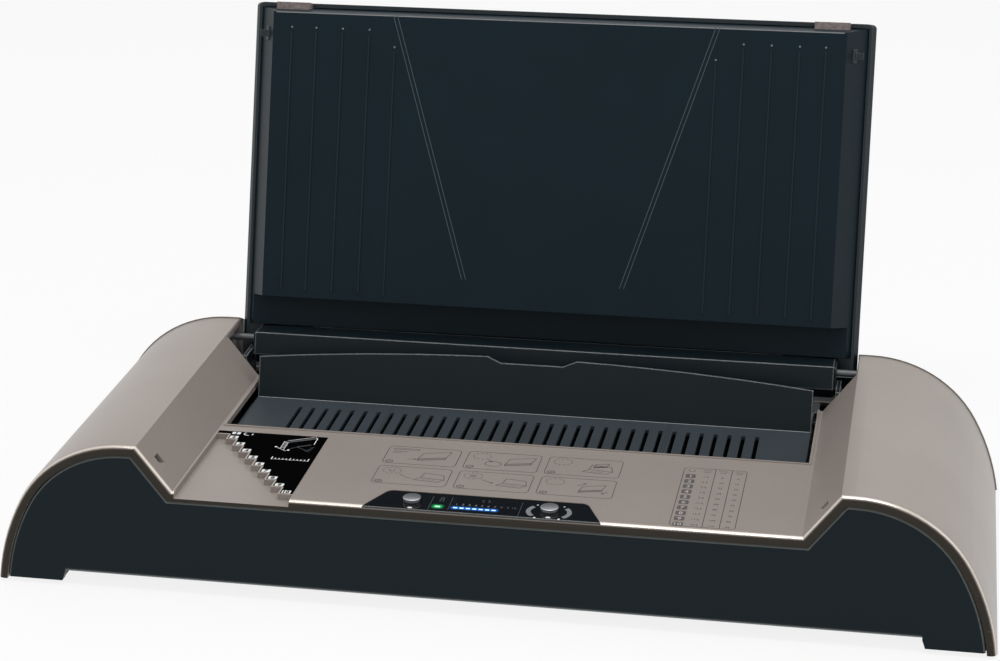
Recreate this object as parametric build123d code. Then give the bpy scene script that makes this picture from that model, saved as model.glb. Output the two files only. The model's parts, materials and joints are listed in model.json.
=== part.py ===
"""Thermal binding machine with a hinged lid and a tray that moves with it.

The casing, the tray and the closed lid share one sloping frame: x runs across
the machine, y runs back from the front edge and z is square to the deck. The
lid is drawn shut and then opened, and the finished machine is leaned back by
the deck's slope, so that it stands on its four feet. All sizes are in mm.
"""

from build123d import *
import os
from math import acos, cos, hypot, radians, sin, sqrt, tan

# Casing
deck_slope = 1.2
shell_wall = 2.5
shell_depth = 200.0
deck_z = 60.2
deck_half_width = 166.5
arm_rise = 24.4
arm_run = 18.7
arm_flat = 6.8
shoulder_radius = 68.8
shoulder_turn = 60.4
side_radius = 127.0
edge_round = 3.6
lip_width = 5.3
fascia_gap = 0.5
fascia_thickness = 3.0
fascia_set_back = 0.6
fascia_flange = 1.5
fascia_chamfer = 1.0
fascia_round = 4.0
foot_inner_x = 231.0
foot_slant = 1.7
underside_z = 7.7
floor_thickness = 2.8
skid_outer_x = 258.5
casing_clearance = 2.9
rear_length = 36.0
rear_fall = 17.0
rear_wall = 2.5
rear_proud = 0.8
rear_round = 3.0
rear_ledge_rise = 1.3
rear_ledge_depth = 13.0
bay_drop = 6.2
cut_margin = 5.0
overlap = 1.0

# Well, tray and guide wall
well_side_inset = 2.8
well_length = 57.3
ridge_width = 1.2
ridge_height = 0.7
tray_drop = 5.2
tray_side_gap = 2.4
tray_thickness = 2.2
wall_to_hinge = 42.8
tray_travel = 17.5
tray_cover_overlap = 1.8
slot_count = 35
slot_side_margin = 29.1
slot_width = 2.4
slot_end_margin = 11.7
slot_start_margin = 6.0
wall_thickness = 2.5
wall_lean = 16.9
wall_end_rise = 17.4
wall_crown = 8.0
wall_foot_gap = 0.5
finger_notch_width = 52.0
finger_notch_depth = 3.3
finger_notch_slant = 7.8
skirt_depth = 11.0
shoe_reach = 6.5
shoe_height = 2.4
glide_gap = 0.3
arm_height = 4.6
ear_gap = 0.7
ear_thickness = 2.5
ear_rim = 1.5
crank_play = 0.65
crank_end_gap = 0.2
crank_pin_radius = 1.5
rail_width = 8.0
rail_wall_gap = 0.8
rail_thickness = 4.0
rail_web = 3.0
rail_foot_length = 12.0
rail_fence = 2.0

# Heater, from the top down
plate_drop = 29.1
plate_thickness = 2.5
plate_side_inset = 6.3
plate_margin = 2.0
plate_round = 3.0
strip_height = 0.8
strip_gap = 0.4
strip_headroom = 10.0
strip_end_inset = 5.0
element_thickness = 1.4
element_inset = 8.0
insulation_thickness = 5.0
shield_thickness = 1.0
shield_lip = 7.0
post_radius = 4.0
post_inset_x = 20.0
post_inset_y = 6.0
guard_x = 60.0
guard_half_length = 7.0
guard_radius = 1.8
sensor_half_width = 3.0
guide_web_x = (-120.0, -40.0, 40.0, 120.0)
guide_web = 2.0
guide_leg = 3.0
guide_back_gap = 8.0

# Lid, drawn shut
hinge_inset = 5.1
hinge_rise = 15.0
lid_open_lean = 17.0
lid_side_gap = 1.4
lid_overhang = 5.7
lid_edge_rise = 9.2
lid_depth = 20.5
lid_crown = 14.0
lid_wall = 2.5
lid_rim_depth = 3.0
lid_lip = 1.6
lid_notch_gap = 0.8
lid_corner_round = 2.5
lid_tail = 2.0
panel_side_gap = 1.5
panel_front_inset = 6.2
panel_wall = 2.2
panel_end_reach = 26.0
pocket_side_rise = 17.0
pocket_crown = 10.0
beam_side_gap = 6.0
beam_reach = 8.0
beam_tail = 14.0
beam_ledge = 4.0
beam_round = 5.0
beam_chamfer = 1.5
pin_radius = 2.0
pin_seat = 10.0
pin_reach = 6.4
bracket_gap = 1.4
bracket_thickness = 4.0
bracket_half_length = 9.0
running_gap = 0.05
peg_y = 13.3
peg_drop = 3.3
peg_length = 4.6
peg_width = 4.0
peg_height = 2.4
peg_play = 0.5
latch_slot_height = 5.2
bumper_inset = 24.8
bumper_width = 20.4
bumper_depth = 4.6
bumper_height = 10.0
bumper_proud = 0.0

# Thickness gauge
gauge_depth = 3.4
gauge_floor = 1.2
gauge_side_inset = 1.2
gauge_width = 62.9
gauge_back_gap = 8.1
gauge_ledge = 4.7
gauge_first_inset = 6.9
gauge_first_drop = 11.4
gauge_front_margin = 8.1
gauge_steps = 9
gauge_step_x = 6.0
gauge_plate_thickness = 0.8
gauge_plate_inset = 0.9

# Control panel
panel_front_half = 63.0
panel_back_half = 53.0
panel_front_y = 1.2
panel_back_y = 23.4
panel_corner_round = 5.0
lens_thickness = 1.6
lens_gap = 0.15
lens_drop = 0.2
lens_front_round = 0.8
lamp_gap = 0.05
carrier_thickness = 1.5
carrier_flange = 2.5
button_y = 12.0
power_x = -38.4
selector_x = 34.7
cap_radius = 4.8
cap_height = 2.0
cap_gap = 0.2
cap_skirt = 4.0
stem_radius = 1.8
button_travel = 0.8
grip_width = 1.0
grip_depth = 0.5
ready_x = -23.8
light_y = 7.2
first_light_x = -14.4
light_pitch = 3.4
light_count = 10
light_length = 2.2
light_width = 1.3
ready_length = 4.6
ready_width = 2.2
board_half_length = 70.0
board_front_y = 6.2
board_depth = 26.0
board_thickness = 1.6
board_drop = 12.0
board_screw_inset = 4.0
switch_size = 6.0
switch_height = 3.5
encoder_size = 11.0
encoder_height = 4.5

# Feet and fasteners
foot_radius = 7.0
foot_x = 244.0
foot_chamfer = 0.8
front_foot_y = 24.0
rear_foot_inset = 31.0
screw_radius = 1.5
screw_gap = 0.1
screw_head_radius = 3.2
screw_head_height = 2.0
base_screw_length = 18.0
board_screw_length = 6.0
boss_radius = 4.2
boss_inset = 38.5
boss_front_y = 28.0
boss_rear_inset = 40.0
rear_boss_inset = 12.0
rear_boss_x = 60.0
seat_gap = 0.3

# Power parts
mains_board_length = 100.0
mains_board_width = 34.0
mains_board_from_deck = 62.5
mains_board_inset = 105.0
mains_board_lift = 8.0
core_size = (28.0, 36.0, 20.0)
core_shift = -22.0
winding_size = (24.0, 22.0, 4.0)
relay_size = (16.0, 20.0, 16.0)
relay_shift = (-5.0, 14.0)
capacitor_radius = 4.5
capacitor_height = 16.0
capacitor_x = 9.0
capacitor_y = (10.0, 24.0)
inlet_from_deck = 57.5
inlet_z = 26.0
inlet_width = 27.0
inlet_height = 20.0
inlet_depth = 17.0
inlet_wall = 1.6
inlet_flange = 3.0
inlet_gap = 0.2
inlet_flange_thickness = 1.5
blade_length = 12.0
blade_width = 2.0
blade_height = 4.0
blade_tail = 5.0
blade_places = ((-7.0, -2.0), (0.0, 2.0), (7.0, -2.0))
vent_half = 6
vent_pitch = 20.0
vent_length = 14.0
vent_width = 4.0
vent_gap = 12.0
rear_vent_half = 8
rear_vent_pitch = 14.0
rear_vent_width = 4.0
rear_vent_low = 14.0
rear_vent_height = 20.0

# Worked out from the sizes above
arm_top_z = deck_z + arm_rise
crease_x = deck_half_width + arm_run
slant_ratio = arm_run / arm_rise
slant_stretch = hypot(1.0, slant_ratio)
shoulder_x = crease_x + arm_flat
shoulder_z = arm_top_z - shoulder_radius
turn = radians(shoulder_turn)
side_centre_x = shoulder_x + (shoulder_radius - side_radius) * sin(turn)
side_centre_z = shoulder_z + (shoulder_radius - side_radius) * cos(turn)
lip_depth = edge_round
fascia_back_y = lip_depth + seat_gap + fascia_flange
floor_top_z = underside_z + floor_thickness
rear_end_y = shell_depth + rear_length
rear_slope = rear_fall / rear_length
rear_ledge_z = deck_z + rear_ledge_rise
bay_floor_z = deck_z - bay_drop
hinge_y = shell_depth - hinge_inset
hinge_z = deck_z + hinge_rise
fold_y = hinge_y - wall_to_hinge
well_half_width = deck_half_width - well_side_inset
well_front_y = fold_y - well_length
tray_half_width = well_half_width - tray_side_gap
tray_z = deck_z - tray_drop
tray_front_y = well_front_y - tray_travel - tray_cover_overlap
slot_span = 2 * (tray_half_width - slot_side_margin)
slot_end_y = fold_y - slot_end_margin
wall_end_z = deck_z + wall_end_rise
plate_top_z = deck_z - plate_drop
plate_half_width = tray_half_width - plate_side_inset
lid_half_width = crease_x - lid_side_gap
lid_edge_z = hinge_z + lid_edge_rise
lid_face_z = lid_edge_z - lid_depth
lid_low_half = lid_half_width - lid_rim_depth * slant_ratio
lid_hollow_half = lid_low_half - lid_lip
lid_front_y = -lid_overhang
lid_rear_y = hinge_y + lid_tail
lid_open_turn = 90.0 + lid_open_lean
panel_half_width = deck_half_width + panel_side_gap
pocket_side_z = deck_z + pocket_side_rise
beam_half_width = deck_half_width + beam_side_gap
ear_x = beam_half_width + ear_gap
crank_radius = tray_travel / 2 / sin(radians(lid_open_turn / 2))
bracket_x = crease_x + bracket_gap
pin_end_x = bracket_x + pin_reach
bumper_x = lid_half_width - bumper_inset
gauge_left_x = deck_half_width - gauge_side_inset
gauge_right_x = gauge_left_x - gauge_width
gauge_back_y = well_front_y - gauge_back_gap
gauge_ledge_y = gauge_back_y - gauge_ledge
gauge_first_x = gauge_left_x - gauge_first_inset
gauge_first_y = gauge_back_y - gauge_first_drop
gauge_step_y = (gauge_first_y - gauge_front_margin) / (gauge_steps - 1)
rear_foot_y = rear_end_y - rear_foot_inset
boss_x = deck_half_width + boss_inset
boss_rear_y = shell_depth - boss_rear_inset
mains_board_x = deck_half_width + mains_board_from_deck
mains_board_y = shell_depth - mains_board_inset
inlet_x = deck_half_width + inlet_from_deck


def block(x0, x1, y0, y1, z0, z1):
    """A box given by its two corners."""
    size = (x1 - x0, y1 - y0, z1 - z0)
    centre = ((x0 + x1) / 2, (y0 + y1) / 2, (z0 + z1) / 2)
    return Pos(*centre) * Box(*size)


def post(x, y, z0, z1, radius):
    """An upright cylinder between two heights."""
    return Pos(x, y, (z0 + z1) / 2) * Cylinder(radius, z1 - z0)


def cross_bar(x0, x1, y, z, radius):
    """A cylinder along x."""
    return Pos((x0 + x1) / 2, y, z) * Rot(0, 90, 0) * Cylinder(radius, abs(x1 - x0))


def prism_x(points, x0, x1):
    """A closed outline of (y, z) points, drawn out along x."""
    face = Face(Wire(Polyline([(x0, y, z) for y, z in points], close=True).edges()))
    return extrude(face, amount=x1 - x0, dir=(1, 0, 0))


def prism_z(points, z0, z1):
    """A closed outline of (x, y) points, drawn out along z."""
    face = Face(Wire(Polyline([(x, y, z0) for x, y in points], close=True).edges()))
    return extrude(face, amount=z1 - z0, dir=(0, 0, 1))


def prism_y(points, y0, y1):
    """A closed outline of (x, z) points, drawn out along y."""
    face = Face(Wire(Polyline([(x, y0, z) for x, z in points], close=True).edges()))
    return extrude(face, amount=y1 - y0, dir=(0, 1, 0))


def both_sides(piece):
    """The piece and its mirror image across the middle of the machine."""
    return piece + piece.mirror(Plane.YZ)


def slant_x(z, inset=0.0):
    """Half-width of the arm's slanted inner face at height z."""
    return deck_half_width + slant_ratio * (z - deck_z) + slant_stretch * inset


def arc_edge(centre_x, centre_z, radius, start, end, y):
    """An arc in the xz plane, with its angles measured from straight up."""
    points = []
    for angle in (start, (start + end) / 2, end):
        points.append((centre_x + radius * sin(angle), y, centre_z + radius * cos(angle)))
    return ThreePointArc(*points)


def casing_section(inset, bottom_z, y):
    """The casing's outline across the machine, moved inwards by inset."""
    low_x = slant_x(deck_z - inset, inset)
    high_x = slant_x(arm_top_z - inset, inset)
    end = acos((bottom_z - side_centre_z) / (side_radius - inset))
    half = [
        Line((low_x, y, deck_z - inset), (high_x, y, arm_top_z - inset)),
        Line((high_x, y, arm_top_z - inset), (shoulder_x, y, arm_top_z - inset)),
        arc_edge(shoulder_x, shoulder_z, shoulder_radius - inset, 0, turn, y),
        arc_edge(side_centre_x, side_centre_z, side_radius - inset, turn, end, y),
    ]
    outer_x = side_centre_x + (side_radius - inset) * sin(end)
    edges = [line.edge() for line in half]
    edges += [edge.mirror(Plane.YZ) for edge in edges]
    edges.append(Line((-low_x, y, deck_z - inset), (low_x, y, deck_z - inset)).edge())
    edges.append(Line((-outer_x, y, bottom_z), (outer_x, y, bottom_z)).edge())
    return Face(Wire(edges))


def casing_solid(inset, bottom_z, y0, y1):
    """The casing's outline drawn out along y."""
    return extrude(casing_section(inset, bottom_z, y0), amount=y1 - y0, dir=(0, 1, 0))


def sinking_solid(inset, bottom_z, y0, y1):
    """The casing's outline drawn out along y while it sinks behind the shell."""
    section = Pos(0, 0, rear_slope * (shell_depth - y0)) * casing_section(inset, bottom_z, y0)
    length = (y1 - y0) * hypot(1, rear_slope)
    return extrude(section, amount=length, dir=(0, 1, -rear_slope))


def level_cut(height):
    """A slab that takes away all that lies below a level height."""
    half = 2 * crease_x
    return Rot(deck_slope, 0, 0) * block(-half, half, -half, 2 * half, -half, height)


def gauge_outline(inset=0.0):
    """The lower edge of the gauge's stairs, from the left to the front right."""
    points = [(-gauge_left_x, gauge_ledge_y + inset)]
    for step in range(gauge_steps):
        corner_x = -gauge_first_x + step * gauge_step_x + inset
        corner_y = gauge_first_y - step * gauge_step_y + inset
        above_y = gauge_ledge_y + inset if step == 0 else corner_y + gauge_step_y
        points.append((corner_x, above_y))
        points.append((corner_x, corner_y))
    points.append((-gauge_right_x, gauge_first_y - (gauge_steps - 1) * gauge_step_y + inset))
    return points


def control_outline(grow):
    """The control panel's outline: wide in front, narrower behind."""
    front, back = panel_front_half + grow, panel_back_half + grow
    return [(-front, panel_front_y - grow), (front, panel_front_y - grow),
            (back, panel_back_y + grow), (-back, panel_back_y + grow)]


def control_plate(grow, z0, z1):
    """A plate of the control panel's outline with round rear corners."""
    plate = prism_z(control_outline(grow), z0, z1)
    corners = plate.edges().filter_by(Axis.Z).group_by(Axis.Y)[-1]
    return fillet(corners, panel_corner_round + grow)


def casing_screw_positions():
    """Where the base is screwed up into the casing's long bosses."""
    return [(side * boss_x, y) for side in (-1, 1) for y in (boss_front_y, boss_rear_y)]


def make_top_shell():
    """The thin one-piece casing with its deck, arms, well and gauge recess."""
    outer = casing_solid(0, 0, 0, shell_depth)
    rim = outer.edges().filter_by_position(Axis.Y, 0, 0)
    outer = fillet(rim.filter_by(lambda edge: edge.center().Z > shell_wall), edge_round)
    inner = casing_solid(shell_wall, -cut_margin, lip_depth, shell_depth + overlap)
    inner += casing_solid(lip_width, -cut_margin, -overlap, lip_depth + overlap)
    shell = outer - inner

    gauge_back = gauge_outline()
    gauge_front = [(-gauge_right_x, -overlap), (-gauge_left_x, -overlap)]
    floor_z = deck_z - gauge_depth
    lining = prism_z([(-gauge_left_x - gauge_floor, shell_wall),
                      (-gauge_right_x + gauge_floor, shell_wall),
                      (-gauge_right_x + gauge_floor, gauge_back_y),
                      (-gauge_left_x - gauge_floor, gauge_back_y)],
                     floor_z - gauge_floor, deck_z - shell_wall / 2)
    shell += lining
    shell -= prism_z(gauge_back + gauge_front, floor_z, deck_z + overlap)

    seat = gauge_outline(gauge_plate_inset)
    seat_back = [(-gauge_right_x, gauge_back_y), (-gauge_left_x, gauge_back_y)]
    shell -= prism_z(seat + seat_back, deck_z - gauge_plate_thickness, deck_z + overlap)

    ridge_outer = block(-well_half_width - ridge_width, well_half_width + ridge_width,
                        well_front_y - ridge_width, shell_depth - cut_margin,
                        deck_z - overlap, deck_z + ridge_height)
    shell += ridge_outer
    low_z = deck_z - 3 * cut_margin
    shell -= block(-well_half_width, well_half_width, well_front_y, shell_depth + overlap,
                   low_z, deck_z + 2 * ridge_height)
    notch_x = slant_x(arm_top_z - shell_wall) + shell_wall
    shell -= block(-notch_x, notch_x, notch_y(), shell_depth + overlap,
                   low_z, arm_top_z - 1.5 * shell_wall)
    notch_x = lid_half_width + lid_notch_gap
    shell -= block(-notch_x, notch_x, notch_y(), shell_depth + overlap, low_z, arm_top_z + overlap)

    shell -= control_plate(lens_gap, low_z, deck_z + overlap)
    for side in (-1, 1):
        shell -= latch_slot(side)

    for x, y in casing_screw_positions():
        shell += post(x, y, floor_top_z, arm_top_z - shell_wall, boss_radius)
        shell -= screw_hole(x, y, floor_top_z, base_screw_length)
    for x, y in board_screw_positions():
        shell += post(x, y, board_top_z(), deck_z - shell_wall, boss_radius - overlap)
        shell -= screw_hole(x, y, board_top_z(), board_screw_length)
    shell -= level_cut(casing_clearance - overlap)
    return shell


def screw_hole(x, y, start_z, length):
    """The cutter for a screw's hole, which goes up from start_z."""
    return post(x, y, start_z - overlap, start_z + length + overlap, screw_radius + screw_gap)


def board_screw_positions():
    """The control board's four fixing points."""
    x = board_half_length - board_screw_inset
    front_y = board_front_y + board_screw_inset
    rear_y = board_front_y + board_depth - board_screw_inset
    return [(-x, front_y), (x, front_y), (-x, rear_y), (x, rear_y)]


def lid_wall_x(z):
    """Half-width of the inner panel's slanted side wall at height z."""
    share = (z - lid_face_z) / (panel_top_z() - lid_face_z)
    return panel_half_width + share * (lid_hollow_half - seat_gap - panel_half_width)


def panel_top_z():
    """Top of the inner panel's walls, just under the outer skin."""
    return lid_top_z(lid_hollow_half, lid_wall) - seat_gap


def latch_slot(side):
    """The cutter for the slot that takes one of the lid's pegs."""
    z0 = hinge_z - peg_drop - peg_height / 2 - peg_play
    half = peg_width / 2 + peg_play
    cutter = block(panel_half_width + 2 * overlap, peg_end_x() + 4 * shell_wall,
                   peg_y - half, peg_y + half, z0, z0 + latch_slot_height)
    return cutter if side > 0 else cutter.mirror(Plane.YZ)


def peg_end_x():
    """How far out the latch pegs reach."""
    return lid_wall_x(hinge_z - peg_drop) + peg_length


def make_latch_peg(side):
    """A latch peg that stands out from the lid's slanted side wall."""
    z = hinge_z - peg_drop
    inner_x = panel_half_width + overlap
    shank = block(inner_x, peg_end_x(), peg_y - peg_width / 2, peg_y + peg_width / 2,
                  z - peg_height / 2, z + peg_height / 2)
    pad = block(inner_x, lid_wall_x(z) + overlap, peg_y - peg_width, peg_y + peg_width,
                z - peg_height, z + peg_height)
    pad &= panel_frustum(overlap, lid_face_z, panel_top_z(), hinge_y)
    peg = (shank + pad) - panel_frustum(0, lid_face_z, panel_top_z(), hinge_y)
    return peg if side > 0 else peg.mirror(Plane.YZ)


def make_front_fascia():
    """The dark front panel inside the casing's lip, with a flange behind the lip."""
    inset = lip_width + fascia_gap
    y0 = fascia_set_back
    y1 = fascia_back_y
    panel = casing_solid(inset, 0, y0, y1)
    rim = panel.edges().filter_by_position(Axis.Y, y0, y0)
    panel = chamfer(rim.filter_by(lambda edge: edge.center().Z > overlap), fascia_chamfer)
    panel += casing_solid(shell_wall + seat_gap, 0, y1 - fascia_flange, y1)
    lower_x = foot_inner_x
    upper_x = foot_inner_x - foot_slant
    notch = [(-lower_x, -cut_margin), (-lower_x, casing_clearance), (-upper_x, underside_z),
             (upper_x, underside_z), (lower_x, casing_clearance), (lower_x, -cut_margin)]
    panel -= prism_y(notch, y0 - overlap, y1 + overlap)
    gauge_low_z = deck_z - gauge_depth - gauge_floor - seat_gap
    panel -= block(-gauge_left_x - 2 * gauge_floor, -gauge_right_x + 2 * gauge_floor,
                   y1 - fascia_flange - overlap, y1 + overlap, gauge_low_z, deck_z)
    panel += block(-upper_x, upper_x, y0 + fascia_thickness / 2, y0 + 3 * fascia_thickness,
                   underside_z, underside_z + 1.5 * fascia_round)
    corner = block(-upper_x, upper_x, y0 - overlap, y0 + fascia_round,
                   underside_z - overlap, underside_z + fascia_round)
    panel -= corner - cross_bar(-foot_inner_x, foot_inner_x, y0 + fascia_round,
                                underside_z + fascia_round, fascia_round)
    return panel - level_cut(casing_clearance)


def make_base():
    """The floor of the machine with its two hollow side skids and heater posts."""
    y0 = fascia_set_back + 3 * fascia_thickness + seat_gap
    y1 = rear_end_y - rear_wall - seat_gap
    skid_y = fascia_back_y + seat_gap
    floor_x = foot_inner_x + floor_thickness
    base = block(-floor_x, floor_x, y0, y1, underside_z, floor_top_z)
    skid = block(foot_inner_x + seat_gap, skid_outer_x, skid_y, y1, 0, floor_top_z)
    skid -= block(floor_x + seat_gap, skid_outer_x - floor_thickness,
                  skid_y + floor_thickness, y1 - floor_thickness,
                  casing_clearance + 2 * floor_thickness, floor_top_z + overlap)
    base += both_sides(skid)
    for x, y in heater_post_positions():
        base += post(x, y, underside_z + overlap, shield_bottom_z(), post_radius)
    for x, y in mains_post_positions():
        low_z = underside_z + overlap if x < foot_inner_x else casing_clearance + floor_thickness
        base += post(x, y, low_z, floor_top_z + mains_board_lift, post_radius - overlap)
        base -= screw_hole(x, y, floor_top_z + 2 * overlap, mains_board_lift)
    for x, y in casing_screw_positions() + rear_screw_positions():
        base -= screw_hole(x, y, underside_z, floor_thickness)
        base -= post(x, y, underside_z - overlap, underside_z + screw_head_height / 2,
                     screw_head_radius + screw_gap)
    for row_y in (plate_front_y() - vent_gap, plate_back_y() + vent_gap):
        for column in range(-vent_half, vent_half + 1):
            x = column * vent_pitch
            base -= block(x - vent_length / 2, x + vent_length / 2,
                          row_y - vent_width / 2, row_y + vent_width / 2,
                          underside_z - overlap, floor_top_z + overlap)
    return base - level_cut(casing_clearance)


def plate_front_y():
    """Front edge of the heating plate, under the guide wall when the lid is open."""
    return wall_y(plate_top_z) - plate_margin


def plate_back_y():
    """Back edge of the heating plate, under the rear guide."""
    return rest_plane_y(plate_top_z) + plate_margin


def wall_y(z):
    """Front face of the guide wall at height z."""
    return fold_y + (z - tray_z) * tan(radians(wall_lean))


def rest_plane_y(z):
    """The plane that an open lid gives the document to lean on, at height z."""
    lean = radians(lid_open_lean)
    face = lid_depth - lid_edge_rise
    along = (z - hinge_z - face * sin(lean)) / cos(lean)
    return hinge_y + along * sin(lean) - face * cos(lean)


def element_bottom_z():
    """Underside of the heater element."""
    return plate_top_z - plate_thickness - element_thickness


def shield_bottom_z():
    """Underside of the steel heat shield."""
    return element_bottom_z() - insulation_thickness - shield_thickness


def heater_post_positions():
    """Four posts that carry the heat shield."""
    x = plate_half_width - post_inset_x
    rows = (plate_front_y() + post_inset_y, plate_back_y() - post_inset_y)
    return [(side * x, y) for side in (-1, 1) for y in rows]


def strip_front_y():
    """Front edge of the plate's raised strip, clear of the leaning guide wall."""
    wall_back = wall_thickness / cos(radians(wall_lean))
    return wall_y(plate_top_z + strip_headroom) + wall_back + strip_gap


def strip_back_y():
    """Back edge of the plate's raised strip, clear of the rear guide."""
    return rest_plane_y(plate_top_z) - strip_gap


def make_heating_plate():
    """The aluminium plate, with a raised strip that the document's spine stands on."""
    plate = block(-plate_half_width, plate_half_width, plate_front_y(), plate_back_y(),
                  plate_top_z - plate_thickness, plate_top_z - strip_height)
    plate = fillet(plate.edges().filter_by(Axis.Z), plate_round)
    end_x = plate_half_width - strip_end_inset
    return plate + block(-end_x, end_x, strip_front_y(), strip_back_y(),
                         plate_top_z - plate_thickness + overlap, plate_top_z)


def make_heater_element():
    """The flat heater element under the plate."""
    return block(-plate_half_width + element_inset, plate_half_width - element_inset,
                 plate_front_y() + element_inset, plate_back_y() - element_inset,
                 element_bottom_z(), plate_top_z - plate_thickness)


def plate_middle_y():
    """The heating plate's long middle line."""
    return (plate_front_y() + plate_back_y()) / 2


def make_insulation():
    """The insulation board, with a hollow for the element's two guards."""
    board = block(-plate_half_width + shield_thickness, plate_half_width - shield_thickness,
                  plate_front_y() + shield_thickness, plate_back_y() - shield_thickness,
                  element_bottom_z() - insulation_thickness, element_bottom_z())
    half_x = guard_half_length + 2 * overlap
    half_y = sensor_half_width + 2 * overlap
    for x in (-guard_x, guard_x):
        board -= block(x - half_x, x + half_x, plate_middle_y() - half_y, plate_middle_y() + half_y,
                       element_bottom_z() - insulation_thickness + overlap, element_bottom_z() + overlap)
    return board


def make_heat_shield():
    """The folded steel tray under the insulation."""
    bottom = shield_bottom_z()
    outer = block(-plate_half_width, plate_half_width, plate_front_y(), plate_back_y(),
                  bottom, bottom + shield_lip)
    hollow = block(-plate_half_width + shield_thickness, plate_half_width - shield_thickness,
                   plate_front_y() + shield_thickness, plate_back_y() - shield_thickness,
                   bottom + shield_thickness, bottom + shield_lip + overlap)
    return outer - hollow


def make_thermal_fuse():
    """The one-shot fuse that lies against the element."""
    return cross_bar(-guard_x - guard_half_length, -guard_x + guard_half_length, plate_middle_y(),
                     element_bottom_z() - guard_radius - screw_gap, guard_radius)


def make_temperature_sensor():
    """The sensor bead block that lies against the element."""
    return block(guard_x - guard_half_length, guard_x + guard_half_length,
                 plate_middle_y() - sensor_half_width, plate_middle_y() + sensor_half_width,
                 element_bottom_z() - 2 * guard_radius, element_bottom_z() - screw_gap)


def make_rear_guide():
    """The fixed rear wall of the document slot, with a shelf under the hinge."""
    low_z = plate_top_z + seat_gap
    shelf_z = bay_floor_z - rear_wall
    points = [(rest_plane_y(low_z), low_z), (rest_plane_y(bay_floor_z), bay_floor_z),
              (shell_depth - seat_gap, bay_floor_z), (shell_depth - seat_gap, shelf_z),
              (rest_plane_y(bay_floor_z) + rear_wall, shelf_z), (rest_plane_y(low_z) + rear_wall, low_z)]
    guide = prism_x(points, -well_half_width, well_half_width)
    back_y = shell_depth - guide_back_gap
    web = [(rest_plane_y(low_z) + rear_wall, low_z), (back_y, shelf_z),
           (rest_plane_y(bay_floor_z) + rear_wall, shelf_z)]
    for x in guide_web_x:
        guide += prism_x(web, x - guide_web / 2, x + guide_web / 2)
    leg = block(-well_half_width, -well_half_width + guide_leg, plate_back_y() + overlap, back_y,
                floor_top_z, shelf_z)
    return guide + both_sides(leg)


def slot_centres():
    """Middle of each vent slot across the tray."""
    pitch = slot_span / (slot_count - 1)
    return [-slot_span / 2 + index * pitch for index in range(slot_count)]


def make_document_tray():
    """The slotted tray that slides under the deck, with skirts and side shoes."""
    tray = block(-tray_half_width, tray_half_width, tray_front_y, fold_y, tray_z - tray_thickness, tray_z)
    start_y = tray_front_y + slot_start_margin
    for x in slot_centres():
        mid_y = (start_y + slot_end_y) / 2
        cutter = Pos(x, mid_y, tray_z) * Rot(0, 0, 90) * extrude(
            SlotOverall(slot_end_y - start_y, slot_width), amount=2 * tray_thickness, both=True)
        tray -= cutter
    low_z = skirt_low_z()
    end_y = wall_y(low_z)
    skirt = block(tray_half_width - tray_thickness, tray_half_width, tray_front_y, end_y,
                  low_z, tray_z - tray_thickness)
    shoe = block(tray_half_width, tray_half_width + shoe_reach, tray_front_y, end_y,
                 low_z, low_z + shoe_height)
    return tray + both_sides(skirt + shoe) - make_guide_wall()


def skirt_low_z():
    """Underside of the tray's skirts and shoes."""
    return tray_z - tray_thickness - skirt_depth


def make_tray_arm(side):
    """An arm from the guide wall's end to a slotted ear that the lid's crank pin moves."""
    crank_y, crank_shut_z = crank_place()
    ear_y = crank_y - tray_travel
    low_z = bay_floor_z + seat_gap
    inner_x = tray_half_width - tray_thickness
    start_y = notch_y() + seat_gap
    outer_x = ear_x + ear_thickness
    root_y = wall_y(low_z + arm_height / 2) + wall_thickness / 2
    arm = block(inner_x, tray_half_width, root_y, start_y + tray_thickness, low_z, low_z + arm_height)
    arm += block(inner_x, outer_x, start_y, start_y + tray_thickness, low_z, low_z + arm_height)
    slot_half = crank_pin_radius + crank_play
    slot_top = crank_shut_z + crank_pin_radius + crank_end_gap
    slot_low = hinge_z - crank_radius - crank_pin_radius - crank_end_gap
    arm += block(ear_x, outer_x, start_y, ear_y + slot_half + 2 * ear_rim, low_z, slot_top + ear_rim)
    arm -= block(ear_x - overlap, outer_x + overlap, ear_y - slot_half, ear_y + slot_half,
                 slot_low, slot_top)
    if side < 0:
        arm = arm.mirror(Plane.YZ)
    return arm - make_guide_wall()


def notch_y():
    """Where the arms' slanted faces end, in front of the hinges."""
    return hinge_y - 3 * bracket_half_length + bracket_thickness


def rail_top_z():
    """Top of the rails that the tray's shoes slide on."""
    return skirt_low_z() - glide_gap


def make_tray_rail(side):
    """One of the rails on the floor that carry the sliding tray."""
    x0 = tray_half_width + rail_wall_gap - tray_thickness
    x1 = x0 + rail_width
    middle_x = (x0 + x1) / 2
    y0 = tray_front_y - 2 * overlap
    y1 = wall_y(skirt_low_z()) + tray_travel + 2 * overlap
    top = rail_top_z()
    low = top - rail_thickness
    rail = block(x0, x1, y0, y1, low, top)
    rail += block(middle_x - rail_web / 2, middle_x + rail_web / 2, y0, y1, floor_top_z, low + overlap)
    for y in (y0, y1 - rail_foot_length):
        rail += block(x0, x1, y, y + rail_foot_length, floor_top_z, floor_top_z + rail_web)
    rail += block(x1 + glide_gap, x1 + rail_fence, y0, y1, low, top + shoe_height)
    rail += block(x1 - overlap, x1 + rail_fence, y0, y1, low, low + rail_fence)
    return rail if side > 0 else rail.mirror(Plane.YZ)


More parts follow.
